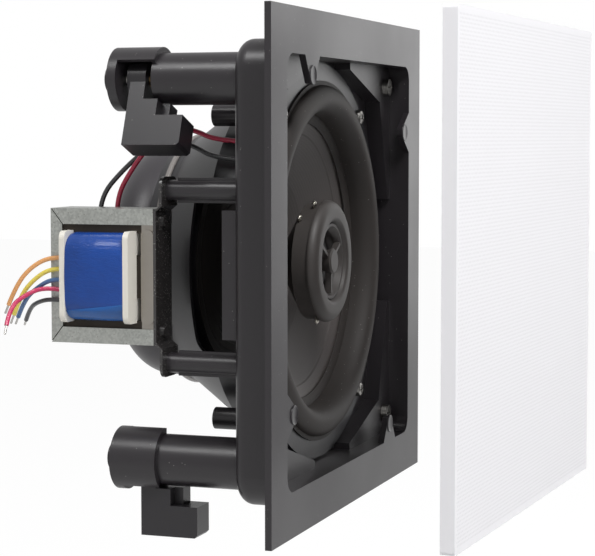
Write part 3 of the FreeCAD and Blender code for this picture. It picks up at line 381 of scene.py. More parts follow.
@dataclass(frozen=True)
class Laminations:
    """Stacked core sheets, dark partly of their own and partly as painted shade for the thin gaps round the
    tape, with the lighter plate at the front of their near side.
    """

    name: str
    sheets: Colour
    plate: Colour
    plate_back: float
    sheet_pitch: float = 0.0005
    sheet_tones: Pair = (0.6, 1.3)
    plate_tones: Pair = (0.85, 1.12)
    roughness: Pair = (0.55, 0.35)
    metallic: Pair = (0.6, 1.0)
    grain_scale: float = 1800.0
    patch_scale: float = 70.0
    depth: float = 0.00006
    relief: float = 0.6

    def build(self) -> Material:
        """Make the material."""
        surface = Surface(self.name, self.grain_scale, self.patch_scale)
        front = surface.math("LESS_THAN", surface.axes(surface.place())[1], self.plate_back * MM)
        # The sheets' dark colour carries painted shade for the gaps round the tape, besides the steel's own
        # tone.
        sheets = surface.mottle(surface.patch, self.sheets, *self.sheet_tones)
        plate = surface.mottle(surface.patch, self.plate, *self.plate_tones)
        edges = surface.group("stripes", Along_X=2 * math.pi / self.sheet_pitch)[0]
        return surface.finish(surface.mix(front, sheets, plate), surface.between(front, *self.roughness),
                              (edges, self.relief, self.depth),
                              Metallic=surface.between(front, *self.metallic))


@dataclass(frozen=True)
class Tape:
    """Glossy tape wound over the coil, with lap lines and small creases."""

    name: str
    colour: Colour
    tones: Pair = (0.72, 1.28)
    roughness: Pair = (0.12, 0.34)
    coat: float = 0.15
    coat_roughness: float = 0.08
    specular: float = 0.3
    grain_scale: float = 210.0
    patch_scale: float = 55.0
    laps: float = 900.0
    lap_share: float = 0.12
    crease_scale: float = 190.0
    crease_detail: Point = (4.0, 0.62, 1.4)
    crease_stretch: Point = (1.0, 1.0, 2.6)
    depth: float = 0.0007
    relief: float = 0.44

    def build(self) -> Material:
        """Make the material."""
        surface = Surface(self.name, self.grain_scale, self.patch_scale)
        stretch = surface.make("ShaderNodeMapping", Vector=surface.place(), Scale=self.crease_stretch)
        creases = surface.noise(stretch.outputs[0], self.crease_scale, *self.crease_detail)
        laps = surface.group("stripes", Along_Y=self.laps)[0]
        height = surface.math("MULTIPLY_ADD", laps, self.lap_share, creases)
        return surface.finish(surface.mottle(surface.patch, self.colour, *self.tones),
                              surface.between(surface.patch, *self.roughness),
                              (height, self.relief, self.depth), Coat_Weight=self.coat,
                              Coat_Roughness=self.coat_roughness, Specular_IOR_Level=self.specular)


@dataclass(frozen=True)
class PerforatedPaint:
    """White powder coat on sheet whose face is pierced with small staggered holes."""

    name: str
    colour: Colour
    turn: float
    margin: float
    middle: float = 0.0048
    pitch: float = 0.0018
    hole: float = 0.00045
    hole_shade: float = 0.86
    facing: float = 0.7
    roughness: Pair = (0.5, 0.6)
    grain_scale: float = 1500.0
    patch_scale: float = 10.0
    grain_share: float = 0.1
    depth: float = 0.0002
    relief: float = 0.2

    def build(self) -> Material:
        """Make the material."""
        surface = Surface(self.name, self.grain_scale, self.patch_scale)
        square = surface.make("ShaderNodeMapping", Vector=surface.place(), Location=(-self.middle, 0.0, 0.0),
                              Rotation=(0.0, 0.0, self.turn))
        across, _, up = surface.axes(square.outputs[0])
        inside = surface.math("MULTIPLY", self.holes(surface, across, up), self.pierced(surface, across, up))
        grain = surface.math("MULTIPLY", surface.height, self.grain_share)
        return surface.finish(surface.mix(inside, self.colour, shade(self.colour, self.hole_shade)),
                              surface.between(surface.patch, *self.roughness),
                              (surface.math("SUBTRACT", grain, inside), self.relief, self.depth))

    def holes(self, surface: Surface, across: Socket, up: Socket) -> Socket:
        """Mask round holes in rows, with every second row half a pitch along."""
        row_pitch = self.pitch * math.sqrt(3) / 2
        row = surface.math("FLOOR", surface.math("DIVIDE", up, row_pitch))
        stagger = surface.math("MULTIPLY", surface.math("FLOORED_MODULO", row, 2.0), self.pitch / 2)
        along = surface.math("FLOORED_MODULO", surface.math("ADD", across, stagger), self.pitch)
        side = surface.math("SUBTRACT", along, self.pitch / 2)
        rise = surface.math("SUBTRACT", surface.math("FLOORED_MODULO", up, row_pitch), row_pitch / 2)
        squared = surface.math("MULTIPLY_ADD", side, side, surface.math("MULTIPLY", rise, rise))
        return surface.math("LESS_THAN", squared, self.hole ** 2)

    def pierced(self, surface: Surface, across: Socket, up: Socket) -> Socket:
        """Mask the part of the sheet's face that has holes."""
        normal = surface.add("ShaderNodeTexCoord").outputs["Normal"]
        mask = surface.math("GREATER_THAN", surface.math("ABSOLUTE", surface.axes(normal)[1]), self.facing)
        for place in (across, up):
            within = surface.math("LESS_THAN", surface.math("ABSOLUTE", place), self.margin)
            mask = surface.math("MULTIPLY", mask, within)
        return mask


def wire(name: str, colour: Colour, uneven: float = 0.1) -> Moulded:
    """Describe the insulation of a wire."""
    return Moulded(name, colour, 0.32, 1500.0, 0.00001, uneven, 0.2)


def spun(name: str, colour: Colour, roughness: float, rings: float) -> Moulded:
    """Describe a pressed or woven round piece, with its rings in radians per metre."""
    return Moulded(name, colour, roughness, 1200.0, 0.00003, 0.2, patch_scale=18.0, gloss_range=0.07,
                   rings=rings)


class Finish(Enum):
    """Every finish on the loudspeaker."""

    MOULDING = Moulded("Dark_Moulding", linear(39, 36, 39), 0.34, dust=0.012)
    BASKET = Moulded("Basket_Paint", linear(34, 33, 36), 0.36, 1800.0)
    RUBBER = Moulded("Surround_Rubber", linear(52, 48, 46), 0.6, 900.0, 0.00003, 0.2, dust=0.03,
                     specular=0.35)
    CONE = spun("Cone_Sheet", linear(82, 77, 75), 0.5, 5200.0)
    COVER = Moulded("Cover_Plastic", linear(54, 51, 55), 0.38, 1500.0)
    TWEETER = Moulded("Tweeter_Plastic", linear(60, 56, 54), 0.55, 1800.0, 0.00002)
    # The rim's pale colour is a painted highlight, for the light caught along the basket's edge.
    RIM_HIGHLIGHT = Moulded("Rim_Paint", linear(126, 121, 118), 0.26, 1800.0, specular=0.9)
    DOME = spun("Dome_Cloth", linear(38, 37, 37), 0.7, 16000.0)
    # The spider's near-black colour is painted shade, for the dark seen through the basket's windows.
    CLOTH = spun("Spider_Cloth", linear(30, 25, 23), 0.85, 12000.0)
    FORMER = Moulded("Former_Film", linear(60, 46, 34), 0.5)
    COPPER = Metal("Copper_Wire", linear(190, 108, 66), 0.3, stripes=(0.0, 16000.0, 0.0))
    PLATED = Metal("Plated_Steel", linear(176, 174, 168), 0.35)
    FERRITE = Moulded("Ferrite", linear(52, 52, 54), 0.6)
    GALVANISED = Metal("Galvanised_Sheet", linear(184, 186, 181), 0.36, 1300.0, low=0.66, high=1.1,
                       dust=0.02)
    STRAP = Moulded("Strap_Paint", linear(44, 42, 42), 0.24, 1100.0, 0.0004, 0.3, 0.5, dust=0.45)
    # The core sheets' dark colour is partly the steel's own and partly painted shade for the gaps round the
    # tape.
    LAMINATIONS = Laminations("Core_Sheets", linear(50, 44, 38), linear(156, 151, 144), plate_back=60.85)
    NYLON = Moulded("Former_Nylon", linear(226, 222, 212), 0.36, uneven=0.05)
    TAPE = Tape("Blue_Tape", linear(22, 66, 144))
    TAPE_END = Tape("Blue_Tape_End", linear(32, 86, 154))
    SOLDER = Metal("Solder", linear(186, 182, 172), 0.28)
    ARM = Moulded("Clamp_Plastic", linear(34, 32, 35), 0.34, 1600.0, dust=0.012)
    BRASS = Metal("Turned_Brass", linear(190, 152, 84), 0.3)
    SCREW = Metal("Screw_Plating", linear(150, 148, 144), 0.3, stripes=(0.0, 7854.0, 0.0), depth=0.0001)
    WIRE_BLACK = wire("Wire_Black", linear(52, 52, 54))
    WIRE_RED = wire("Wire_Red", linear(172, 34, 66))
    WIRE_ORANGE = wire("Wire_Orange", linear(226, 164, 104), 0.08)
    WIRE_YELLOW = wire("Wire_Yellow", linear(230, 212, 92), 0.08)
    WIRE_BLUE = wire("Wire_Blue", linear(74, 108, 156))
    WIRE_PINK = wire("Wire_Pink", linear(196, 42, 92))
    TIN = Metal("Tinned_Wire", linear(206, 204, 200), 0.25, stripes=(6000.0, 9000.0, 6000.0))
    GRILLE = PerforatedPaint("Grille_Paint", linear(232, 231, 234), turn=math.radians(3.3), margin=0.1030)

    def material(self) -> Material:
        """Give the finish's material, building it the first time."""
        known = bpy.data.materials.get(self.value.name)
        return known or self.value.build()


def put_in(name: str, data: bpy.types.ID) -> Piece:
    """Make an object of a mesh, curve, lamp or camera and put it in the scene."""
    made = bpy.data.objects.new(name, data)
    bpy.context.scene.collection.objects.link(made)
    return made


def dress(piece: Piece, finish: Finish) -> None:
    """Give a CAD node or a new piece its finish."""
    piece.data.materials.clear()
    piece.data.materials.append(finish.material())
    LOG.info("%s: %s", piece.name, finish.value.name)


def fix(piece: Piece, finish: Finish, node: str = "") -> None:
    """Dress a new piece and fix it to the frame.

    Args:
        piece: The new piece.
        finish: What it is made of.
        node: The CAD node that it replaces, if any.
    """
    dress(piece, finish)
    if node:
        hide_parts(node)
    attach(piece, "frame")


class Bench:
    """Blender's own modelling operators, used as by hand."""

    merge: float = 0.000002
    around: int = 128

    @staticmethod
    def mode(name: str) -> None:
        """Go to object mode or edit mode."""
        bpy.ops.object.mode_set(mode=name)

    @staticmethod
    def select_all() -> None:
        """Select the whole mesh of the piece being edited."""
        bpy.ops.mesh.select_all(action="SELECT")

    @staticmethod
    def clear() -> None:
        """Leave edit mode and deselect everything."""
        if bpy.context.mode != "OBJECT":
            Bench.mode("OBJECT")
        bpy.ops.object.select_all(action="DESELECT")

    @classmethod
    def take(cls, piece: Piece) -> None:
        """Select one piece and make it the active one."""
        cls.clear()
        bpy.context.view_layer.objects.active = piece
        piece.select_set(True)

    @staticmethod
    def begin(name: str) -> Piece:
        """Name the primitive just added and open it for editing."""
        piece = bpy.context.object
        piece.name = name
        Bench.mode("EDIT")
        bpy.ops.mesh.select_mode(type="VERT")
        return piece

    @classmethod
    def settle(cls, piece: Piece, angle: float = 40.0) -> Piece:
        """Merge doubles, point the faces outwards, bring the piece to the origin and smooth it.

        Args:
            piece: The piece being edited.
            angle: Edges sharper than this, in degrees, stay sharp.

        Returns:
            The finished piece.
        """
        cls.select_all()
        bpy.ops.mesh.remove_doubles(threshold=cls.merge)
        bpy.ops.mesh.normals_make_consistent(inside=False)
        cls.mode("OBJECT")
        bpy.ops.object.transform_apply(location=True, rotation=True, scale=True)
        bpy.ops.object.shade_smooth_by_angle(angle=math.radians(angle))
        return piece

    @classmethod
    def turned(cls, name: str, profile: Profile) -> Piece:
        """Turn a closed profile round the driver's axis.

        Args:
            name: The piece's name.
            profile: Radius and depth of each corner, in millimetres.

        Returns:
            The turned piece.
        """
        cls.clear()
        start = profile[0]
        bpy.ops.mesh.primitive_plane_add(size=MM, location=(start[0] * MM, start[1] * MM, 0.0))
        piece = cls.begin(name)
        bpy.ops.mesh.merge(type="CENTER")
        for (near, deep), (radius, depth) in zip(profile, profile[1:] + profile[:1]):
            step = ((radius - near) * MM, (depth - deep) * MM, 0.0)
            bpy.ops.mesh.extrude_region_move(TRANSFORM_OT_translate={"value": step})
        cls.select_all()
        bpy.ops.mesh.remove_doubles(threshold=cls.merge)
        bpy.ops.mesh.spin(steps=cls.around, angle=2 * math.pi, center=(0.0, 0.0, 0.0), axis=(0.0, 1.0, 0.0))
        return cls.settle(piece)

    @staticmethod
    def copy(piece: Piece, name: str, place: Matrix) -> Piece:
        """Copy a finished piece with its own mesh and put the copy in its place.

        Args:
            piece: The piece to copy.
            name: The copy's name.
            place: The copy's turn about the origin and its move, in metres.

        Returns:
            The copy, at the origin, with its place in its mesh.
        """
        mesh = piece.data.copy()
        mesh.transform(place)
        return put_in(name, mesh)

    @staticmethod
    def pick(piece: Piece, test: Callable[[Vector], bool]) -> None:
        """Select the faces of the piece being edited whose normal passes a test."""
        bpy.ops.mesh.select_mode(type="FACE")
        bpy.ops.mesh.select_all(action="DESELECT")
        Bench.mode("OBJECT")
        for face in piece.data.polygons:
            face.select = test(face.normal)
        Bench.mode("EDIT")


@dataclass
class Casing:
    """The CAD nodes that keep their shape, under the finish of each."""

    nodes: dict[str, Piece]
    single: dict[Finish, tuple[str, ...]] = field(default_factory=lambda: {
        Finish.MOULDING: ("front_frame",), Finish.BASKET: ("basket",), Finish.CONE: ("cone",),
        Finish.CLOTH: ("spider",), Finish.FORMER: ("voice_coil_former",), Finish.COPPER: ("voice_coil",),
        Finish.PLATED: ("front_plate", "yoke", "tweeter_stem", "tweeter_magnet"),
        Finish.TWEETER: ("tweeter_housing", "phase_plug"), Finish.DOME: ("tweeter_dome",),
        Finish.FERRITE: ("magnet",), Finish.GALVANISED: ("transformer_frame",),
        Finish.LAMINATIONS: ("transformer_core",), Finish.NYLON: ("coil_former",),
        Finish.STRAP: ("transformer_strap", "strap_rivets"), Finish.SCREW: ("strap_screws",),
        Finish.GRILLE: ("grille",),
    })
    at_corners: dict[Finish, str] = field(default_factory=lambda: {
        Finish.ARM: "clamp_arm", Finish.BRASS: "clamp_insert", Finish.SCREW: "clamp_screw",
    })

    def build(self) -> None:
        """Dress the CAD nodes."""
        for finish, names in self.single.items():
            for name in names:
                dress(self.nodes[name], finish)
        for finish, name in self.at_corners.items():
            for corner in range(1, CORNERS + 1):
                dress(self.nodes[f"{name}_{corner}"], finish)


@dataclass
class Surround:
    """The rubber half roll between the driver's flange and the cone, bending as the cone moves."""

    lip_width: float = 1.9
    roll_width: float = 12.8
    crest: float = 7.4
    fullness: float = 0.8
    lip_front: float = 11.6
    foot_front: float = 18.7
    sheet: float = 0.9
    flat_front: float = 0.8
    flat_back: float = 0.2
    foot: tuple[Pair, ...] = ((-1.2, 0.2), (-4.0, 1.7), (-4.0, 2.2), (0.6, 0.9))
    steps: int = 16

    def profile(self, lip: float) -> Profile:
        """Work out the roll's section: in along its front, round the foot and out along its back.

        Args:
            lip: Outer radius of the lip, in millimetres.

        Returns:
            Radius and depth of each corner, in millimetres.
        """
        outer = lip - self.lip_width
        half = self.roll_width / 2
        middle = outer - half
        lip_back = self.lip_front + self.sheet
        front = [(lip, self.lip_front), (outer + self.flat_front, self.lip_front)]
        back = [(lip, lip_back), (outer - self.flat_back, lip_back)]
        for step in range(self.steps + 1):
            angle = math.pi * step / self.steps
            base = self.lip_front + (self.foot_front - self.lip_front) * (1 - math.cos(angle)) / 2
            depth = base - (base - self.crest) * math.sin(angle) ** self.fullness
            front.append((middle + half * math.cos(angle), depth))
            back.append((middle + (half - self.sheet) * math.cos(angle), depth + self.sheet))
        foot = [(middle - half + out, self.foot_front + behind) for out, behind in self.foot]
        return front + foot + back[::-1]

    def build(self) -> None:
        """Turn the roll between the flange and the cone."""
        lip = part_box("surround")[1][0]
        piece = Bench.turned("surround_roll", self.profile(lip / MM))
        dress(piece, Finish.RUBBER)
        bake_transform(piece)
        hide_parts("surround")


@dataclass
class Winding:
    """The coil under its blue tape, crowned on its sides, with the tape's free end showing."""

    corner: float = 8.0
    corner_steps: int = 8
    cuts: int = 7
    crown: float = 0.16
    shoulder: float = 1.4
    shoulder_share: float = 0.975
    smooth_angle: float = 50.0
    tape_sheet: float = 0.18
    end_share: float = 0.42
    end_slope: float = 0.12
    end_facing: float = 0.7

    def build(self) -> None:
        """Shape the wound block, then lift the last turn of tape off it."""
        coil = self.block()
        fix(coil, Finish.TAPE, "transformer_winding")
        fix(self.free_end(coil), Finish.TAPE_END, "transformer_winding")

    def block(self) -> Piece:
        """Crown the winding's section and draw it out along its depth."""
        low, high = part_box("transformer_winding")
        wide, deep, tall = (b - a for a, b in zip(low, high))
        Bench.clear()
        middle = ((low[0] + high[0]) / 2, low[1], (low[2] + high[2]) / 2)
        bpy.ops.mesh.primitive_plane_add(size=1.0, location=middle, rotation=(math.pi / 2, 0.0, 0.0))
        coil = Bench.begin("tape_winding")
        bpy.ops.transform.resize(value=(wide, 1.0, tall))
        bpy.ops.mesh.bevel(offset=self.corner * MM, segments=self.corner_steps, affect="VERTICES")
        Bench.select_all()
        bpy.ops.mesh.subdivide(number_cuts=self.cuts)
        Bench.select_all()
        bpy.ops.transform.tosphere(value=self.crown)
        Bench.mode("OBJECT")
        crowned = [[vertex.co[axis] for vertex in coil.data.vertices] for axis in (0, 1)]
        spread = [max(places) - min(places) for places in crowned]
        Bench.mode("EDIT")
        Bench.select_all()
        share = self.shoulder_share
        shoulder = self.shoulder * MM
        bpy.ops.transform.resize(value=(wide / spread[0] * share, 1.0, tall / spread[1] * share))
        for step, scale in ((shoulder, 1 / share), (deep - 2 * shoulder, 1.0), (shoulder, share)):
            bpy.ops.mesh.extrude_region_move(TRANSFORM_OT_translate={"value": (0.0, step, 0.0)})
            bpy.ops.transform.resize(value=(scale, 1.0, scale))
        return Bench.settle(coil, self.smooth_angle)

    def free_end(self, coil: Piece) -> Piece:
        """Cut the last turn of tape out of a copy of the wound block and lift it off."""
        low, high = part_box("transformer_winding")
        tape = Bench.copy(coil, "tape_end", Matrix.Identity(4))
        Bench.take(tape)
        Bench.mode("EDIT")
        edge = (0.0, 0.0, low[2] + (high[2] - low[2]) * self.end_share)
        side = ((low[0] + high[0]) / 2, 0.0, 0.0)
        for point, normal in ((edge, (0.0, self.end_slope, 1.0)), (side, (1.0, 0.0, 0.0))):
            Bench.select_all()
            bpy.ops.mesh.bisect(plane_co=point, plane_no=normal, clear_outer=True)
        Bench.pick(tape, lambda normal: abs(normal.y) > self.end_facing)
        bpy.ops.mesh.delete(type="FACE")
        Bench.select_all()
        bpy.ops.transform.shrink_fatten(value=self.tape_sheet * MM)
        Bench.mode("OBJECT")
        thick = tape.modifiers.new("sheet", "SOLIDIFY")
        thick.thickness = self.tape_sheet * MM
        thick.offset = -1.0
        bpy.ops.object.modifier_apply(modifier=thick.name)
        return tape


@dataclass
class DriverScrews:
    """Four pan-head screws with cross recesses that hold the driver."""

    head_radius: float = 3.4
    head_height: float = 2.4
    head_sides: int = 40
    rounding_share: float = 0.55
    rounding_steps: int = 5
    smooth_angle: float = 35.0
    recess: float = 1.5
    slot_wide: float = 0.9
    slot_long: float = 4.0
    first_turn: float = 48.0
    turn_step: float = 31.0

    def head(self) -> Piece:
        """Turn one head and sink its cross recess."""
        Bench.clear()
        bpy.ops.mesh.primitive_cylinder_add(vertices=self.head_sides, radius=self.head_radius * MM,
                                            depth=self.head_height * MM,
                                            location=(0.0, self.head_height * MM / 2, 0.0),
                                            rotation=(math.pi / 2, 0.0, 0.0))
        piece = Bench.begin("screw_head")
        Bench.pick(piece, lambda normal: normal.z > SQUARE)
        bpy.ops.mesh.bevel(offset=self.head_height * self.rounding_share * MM, segments=self.rounding_steps)
        Bench.settle(piece)
        for turn in (0.0, 90.0):
            self.sink(piece, turn)
        bpy.ops.object.shade_smooth_by_angle(angle=math.radians(self.smooth_angle))
        return piece

    def sink(self, piece: Piece, turn: float) -> None:
        """Cut one slot of the cross recess, at a turn in degrees round the screw."""
        Bench.clear()
        bpy.ops.mesh.primitive_cube_add(size=1.0)
        cutter = Bench.begin("cutter")
        bpy.ops.transform.resize(value=(self.slot_long * MM, self.recess * 2 * MM, self.slot_wide * MM))
        Bench.settle(cutter)
        cutter.data.transform(Matrix.Rotation(math.radians(turn), 4, "Y"))
        Bench.take(piece)
        cut = piece.modifiers.new("recess", "BOOLEAN")
        cut.object = cutter
        cut.operation = "DIFFERENCE"
        bpy.ops.object.modifier_apply(modifier=cut.name)
        bpy.data.objects.remove(cutter)

    def build(self) -> None:
        """Set a head at each of the driver's four screws."""
        low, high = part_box("driver_screws")
        side, rise = high[0] - self.head_radius * MM, high[2] - self.head_radius * MM
        first = self.head()
        for count, (across, up) in enumerate(((1, 1), (1, -1), (-1, 1), (-1, -1))):
            turn = Matrix.Rotation(math.radians(self.first_turn + self.turn_step * count), 4, "Y")
            place = Matrix.Translation((side * across, low[1], rise * up)) @ turn
            screw = Bench.copy(first, f"driver_screw_{count + 1}", place)
            fix(screw, Finish.SCREW, "driver_screws")
        bpy.data.objects.remove(first)


@dataclass
class MagnetCan:
    """The smooth can over the motor, and the rolled rim where the basket meets it, coloured pale as a
    painted highlight.
    """

    round: float = 16.0
    round_steps: int = 20
    wall: float = 1.6
    vent: float = 4.2
    bevel: Pair = (0.5, 1.0)
    rim_radius: float = 1.4
    rim_place: Pair = (55.4, 69.6)
    rim_sides: int = 12

    def build(self) -> None:
        """Turn the can and its rim."""
        low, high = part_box("magnet_cover")
        radius, front, back = high[0] / MM, low[1] / MM, high[1] / MM
        centre = (radius - self.round, back - self.round)
        profile = [(radius, front + self.bevel[1])]
        profile += arc(centre, self.round, 0.0, 90.0, self.round_steps)
        profile += [(self.vent, back), (self.vent, back - self.wall)]
        profile += arc(centre, self.round - self.wall, 90.0, 0.0, self.round_steps)
        profile += [(radius - self.wall, front), (radius - self.bevel[0], front)]
        fix(Bench.turned("magnet_can", profile), Finish.COVER, "magnet_cover")
        # The rim ring is coloured pale as a painted highlight along the basket's edge.
        last = 360.0 * (self.rim_sides - 1) / self.rim_sides
        ring = arc(self.rim_place, self.rim_radius, 0.0, last, self.rim_sides - 1)
        fix(Bench.turned("can_rim", ring), Finish.RIM_HIGHLIGHT)


@dataclass
class TweeterBezel:
    """The rounded ring round the tweeter's flared mouth."""

    roll: float = 4.4
    roll_steps: int = 12
    inner: float = 17.7
    lip: float = 2.0
    lip_end: float = -165.0
    lip_steps: int = 6
    mouth: Pair = (-0.6, 2.6)
    flare: Pair = (-0.5, 4.6)
    throat: float = 13.4
    throat_depth: float = 13.0
    seat: float = 14.4
    socket: float = 21.4

    def build(self) -> None:
        """Turn the bezel."""
        low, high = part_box("tweeter_bezel")
        outer, front = high[0] / MM, low[1] / MM
        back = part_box("tweeter_housing")[0][1] / MM
        profile = [(outer, back)]
        profile += arc((outer - self.roll, front + self.roll), self.roll, 0.0, -90.0, self.roll_steps)
        lip_centre = (self.inner + self.lip, front + self.lip)
        profile += arc(lip_centre, self.lip, -90.0, self.lip_end, self.lip_steps)
        profile += [(self.inner + self.mouth[0], front + self.mouth[1]),
                    ((self.inner + self.throat) / 2 + self.flare[0], front + self.flare[1]),
                    (self.throat, self.throat_depth), (self.throat, self.seat),
                    (self.socket, self.seat), (self.socket, back)]
        fix(Bench.turned("bezel_ring", profile), Finish.TWEETER, "tweeter_bezel")


@dataclass
class TweeterTerminals:
    """Solder tabs on the tweeter's housing."""

    places: tuple[Point, ...] = ((-10.6, 12.4, 25.4), (-18.6, 16.4, 19.6), (-9.6, 11.6, -25.6))
    tab: Point = (2.6, 0.6, 3.4)
    tab_edge: float = 0.15
    drop: float = 1.25
    drop_place: Point = (0.2, -0.3, 0.5)
    drop_stretch: Point = (1.1, 0.75, 1.0)

    def build(self) -> None:
        """Set each tab on the housing's side with a drop of solder on it."""
        for count, place in enumerate(self.places, start=1):
            Bench.clear()
            bpy.ops.mesh.primitive_cube_add(size=MM)
            piece = Bench.begin(f"tweeter_terminal_{count}")
            bpy.ops.transform.resize(value=self.tab)
            bpy.ops.mesh.bevel(offset=self.tab_edge * MM, segments=2)
            bpy.ops.mesh.select_all(action="DESELECT")
            bpy.ops.mesh.primitive_uv_sphere_add(segments=20, ring_count=12, radius=self.drop * MM,
                                                 location=Vector(self.drop_place) * MM)
            bpy.ops.transform.resize(value=self.drop_stretch)
            Bench.select_all()
            Bench.settle(piece)
            lean = math.atan2(place[0], place[2])
            piece.data.transform(Matrix.Translation(Vector(place) * MM) @ Matrix.Rotation(lean, 4, "Y"))
            fix(piece, Finish.SOLDER)


@dataclass
class GrilleCatches:
    """A round catch on each of the four tabs, which holds the grille."""

    radius: float = 4.1
    sides: int = 48
    proud: float = 0.5
    edge: float = 0.3
    border: float = 0.7
    dish: float = 0.25
    smooth_angle: float = 30.0
    along: float = 57.5
    reach: float = 81.0

    def build(self) -> None:
        """Shape one catch and copy it to the other tabs."""
        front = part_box("front_frame")[0][1]
        Bench.clear()
        bpy.ops.mesh.primitive_cylinder_add(vertices=self.sides, radius=self.radius * MM,
                                            depth=2 * self.proud * MM, rotation=(math.pi / 2, 0.0, 0.0))
        first = Bench.begin("grille_catch")
        Bench.pick(first, lambda normal: normal.z > SQUARE)
        bpy.ops.mesh.bevel(offset=self.edge * MM, segments=3)
        Bench.pick(first, lambda normal: normal.z > SQUARE)
        bpy.ops.mesh.inset(thickness=self.border * MM)
        bpy.ops.transform.translate(value=(0.0, self.dish * MM, 0.0))
        Bench.settle(first, self.smooth_angle)
        for count in range(CORNERS):
            turn = Matrix.Rotation(count * math.pi / 2, 4, "Y")
            place = Matrix.Translation(turn @ Vector((-self.along * MM, front, self.reach * MM)))
            fix(Bench.copy(first, f"grille_catch_{count + 1}", place), Finish.MOULDING)
        bpy.data.objects.remove(first)


@dataclass
class Lead:
    """One insulated wire: its CAD node, its route in millimetres, and what its far end is."""

    node: str
    colour: str
    radius: float
    route: list[Point]
    far_end: str
    bare_length: float = 4.0
    bare_radius: float = 0.5
    strands: int = 6
    strand_radius: float = 0.17
    strand_lay: float = 5.0
    strand_steps: int = 16

    def build(self) -> None:
        """Lay the wire as a smooth curve along its route, with its bare end where it has one."""
        curve = self.line("_wire")
        spline = curve.splines.new("NURBS")
        spline.points.add(len(self.route) - 1)
        for point, place in zip(spline.points, self.route):
            point.co = (*(Vector(place) * MM), 1.0)
        spline.order_u = 3
        spline.use_endpoint_u = True
        spline.resolution_u = 8
        length = self.measure(curve)
        piece = self.thicken(curve, self.radius, 4)
        fix(piece, Finish[f"WIRE_{self.colour.upper()}"], self.node)
        [self.bare_end()] if self.far_end == "bare" else ()

    def line(self, ending: str) -> bpy.types.Curve:
        """Start a curve that is named after the wire's node."""
        curve = bpy.data.curves.new(self.node + ending, "CURVE")
        curve.dimensions = "3D"
        return curve

    @staticmethod
    def thicken(curve: bpy.types.Curve, radius: float, smoothness: int) -> Piece:
        """Make a round piece of a curve, with its radius in millimetres."""
        curve.bevel_depth = radius * MM
        curve.bevel_resolution = smoothness
        curve.use_fill_caps = True
        return put_in(curve.name, curve)

    def bare_end(self) -> Piece:
        """Twist the bare strands beyond the wire's end, as one piece."""
        last = Vector(self.route[-1])
        ahead = (last - Vector(self.route[-2])).normalized()
        side = ahead.orthogonal().normalized()
        rise = ahead.cross(side)
        curve = self.line("_strands")
        offset = self.bare_radius - self.strand_radius
        for strand in range(self.strands):
            spline = curve.splines.new("POLY")
            spline.points.add(self.strand_steps)
            for count, point in enumerate(spline.points):
                along = self.bare_length * count / self.strand_steps
                turn = 2 * math.pi * (strand / self.strands + along / self.strand_lay)
                out = (side * math.cos(turn) + rise * math.sin(turn)) * offset
                point.co = (*((last + ahead * along + out) * MM), 1.0)
        piece = self.thicken(curve, self.strand_radius, 2)
        fix(piece, Finish.TIN, "tap_lead_ends")
        return piece

    @staticmethod
    def measure(curve: bpy.types.Curve) -> float:
        """Measure the line of a curve that has no thickness yet, in metres."""
        bare = put_in("bare_line", curve)
        bpy.context.view_layer.update()
        mesh = bpy.data.meshes.new_from_object(bare)
        places = [vertex.co.copy() for vertex in mesh.vertices]
        total = sum((b - a).length for a, b in zip(places, places[1:]))
        bpy.data.objects.remove(bare)
        bpy.data.meshes.remove(mesh)
        return total


@dataclass
class Wiring:
    """The two driver leads and the five transformer leads."""

    driver_radius: float = 1.05
    tap_radius: float = 0.95
    driver: dict[str, list[Point]] = field(default_factory=lambda: {
        "black": [(-66.4, 89.4, 15.8), (-66.4, 91.8, 28.0), (-62.7, 78.4, 44.0), (-62.7, 63.4, 54.5),
                  (-64.1, 49.5, 52.8), (-65.6, 36.0, 45.6), (-65.6, 15.5, 45.6)],
        "red": [(-66.4, 81.6, 15.8), (-66.4, 83.4, 28.0), (-65.6, 74.2, 44.0), (-65.6, 61.5, 58.0),
                (-65.6, 48.5, 59.2), (-65.6, 36.0, 53.4), (-65.6, 15.5, 53.4)],
    })
    tap_side: float = -94.6
    tap_rear: float = 94.1
    taps: dict[str, tuple[float, list[Point]]] = field(default_factory=lambda: {
        "orange": (5.6, [(0.0, 6.4, 5.6), (-0.9, 14.7, 0.9), (-1.5, 20.8, -6.5), (-1.3, 24.6, -14.8)]),
        "yellow": (0.9, [(0.0, 5.8, 0.9), (-0.2, 13.5, -4.0), (-0.2, 19.3, -10.6), (0.0, 22.8, -19.0)]),
        "blue": (-3.5, [(0.0, 5.4, -3.5), (1.7, 13.3, -7.8), (4.4, 20.3, -13.3), (8.0, 25.0, -20.7)]),
        "pink": (-7.9, [(-0.4, 8.0, -6.9), (-3.0, 15.2, -9.8), (-8.0, 20.4, -14.8), (-12.4, 19.8, -22.2)]),
        "black": (-12.3, [(0.0, 5.6, -11.8), (4.2, 13.6, -13.6), (10.4, 20.6, -16.8), (17.0, 25.9, -22.8)]),
    })

    def build(self) -> None:
        """Lay all seven wires."""
        for colour, route in self.driver.items():
            Lead(f"lead_{colour}", colour, self.driver_radius, route, "object").build()
        for colour, (rise, run) in self.taps.items():
            route = [(self.tap_side, self.tap_rear, rise)]
            route += [(self.tap_side + x, self.tap_rear + y, up) for x, y, up in run]
            Lead(f"tap_lead_{colour}", colour, self.tap_radius, route, "bare").build()


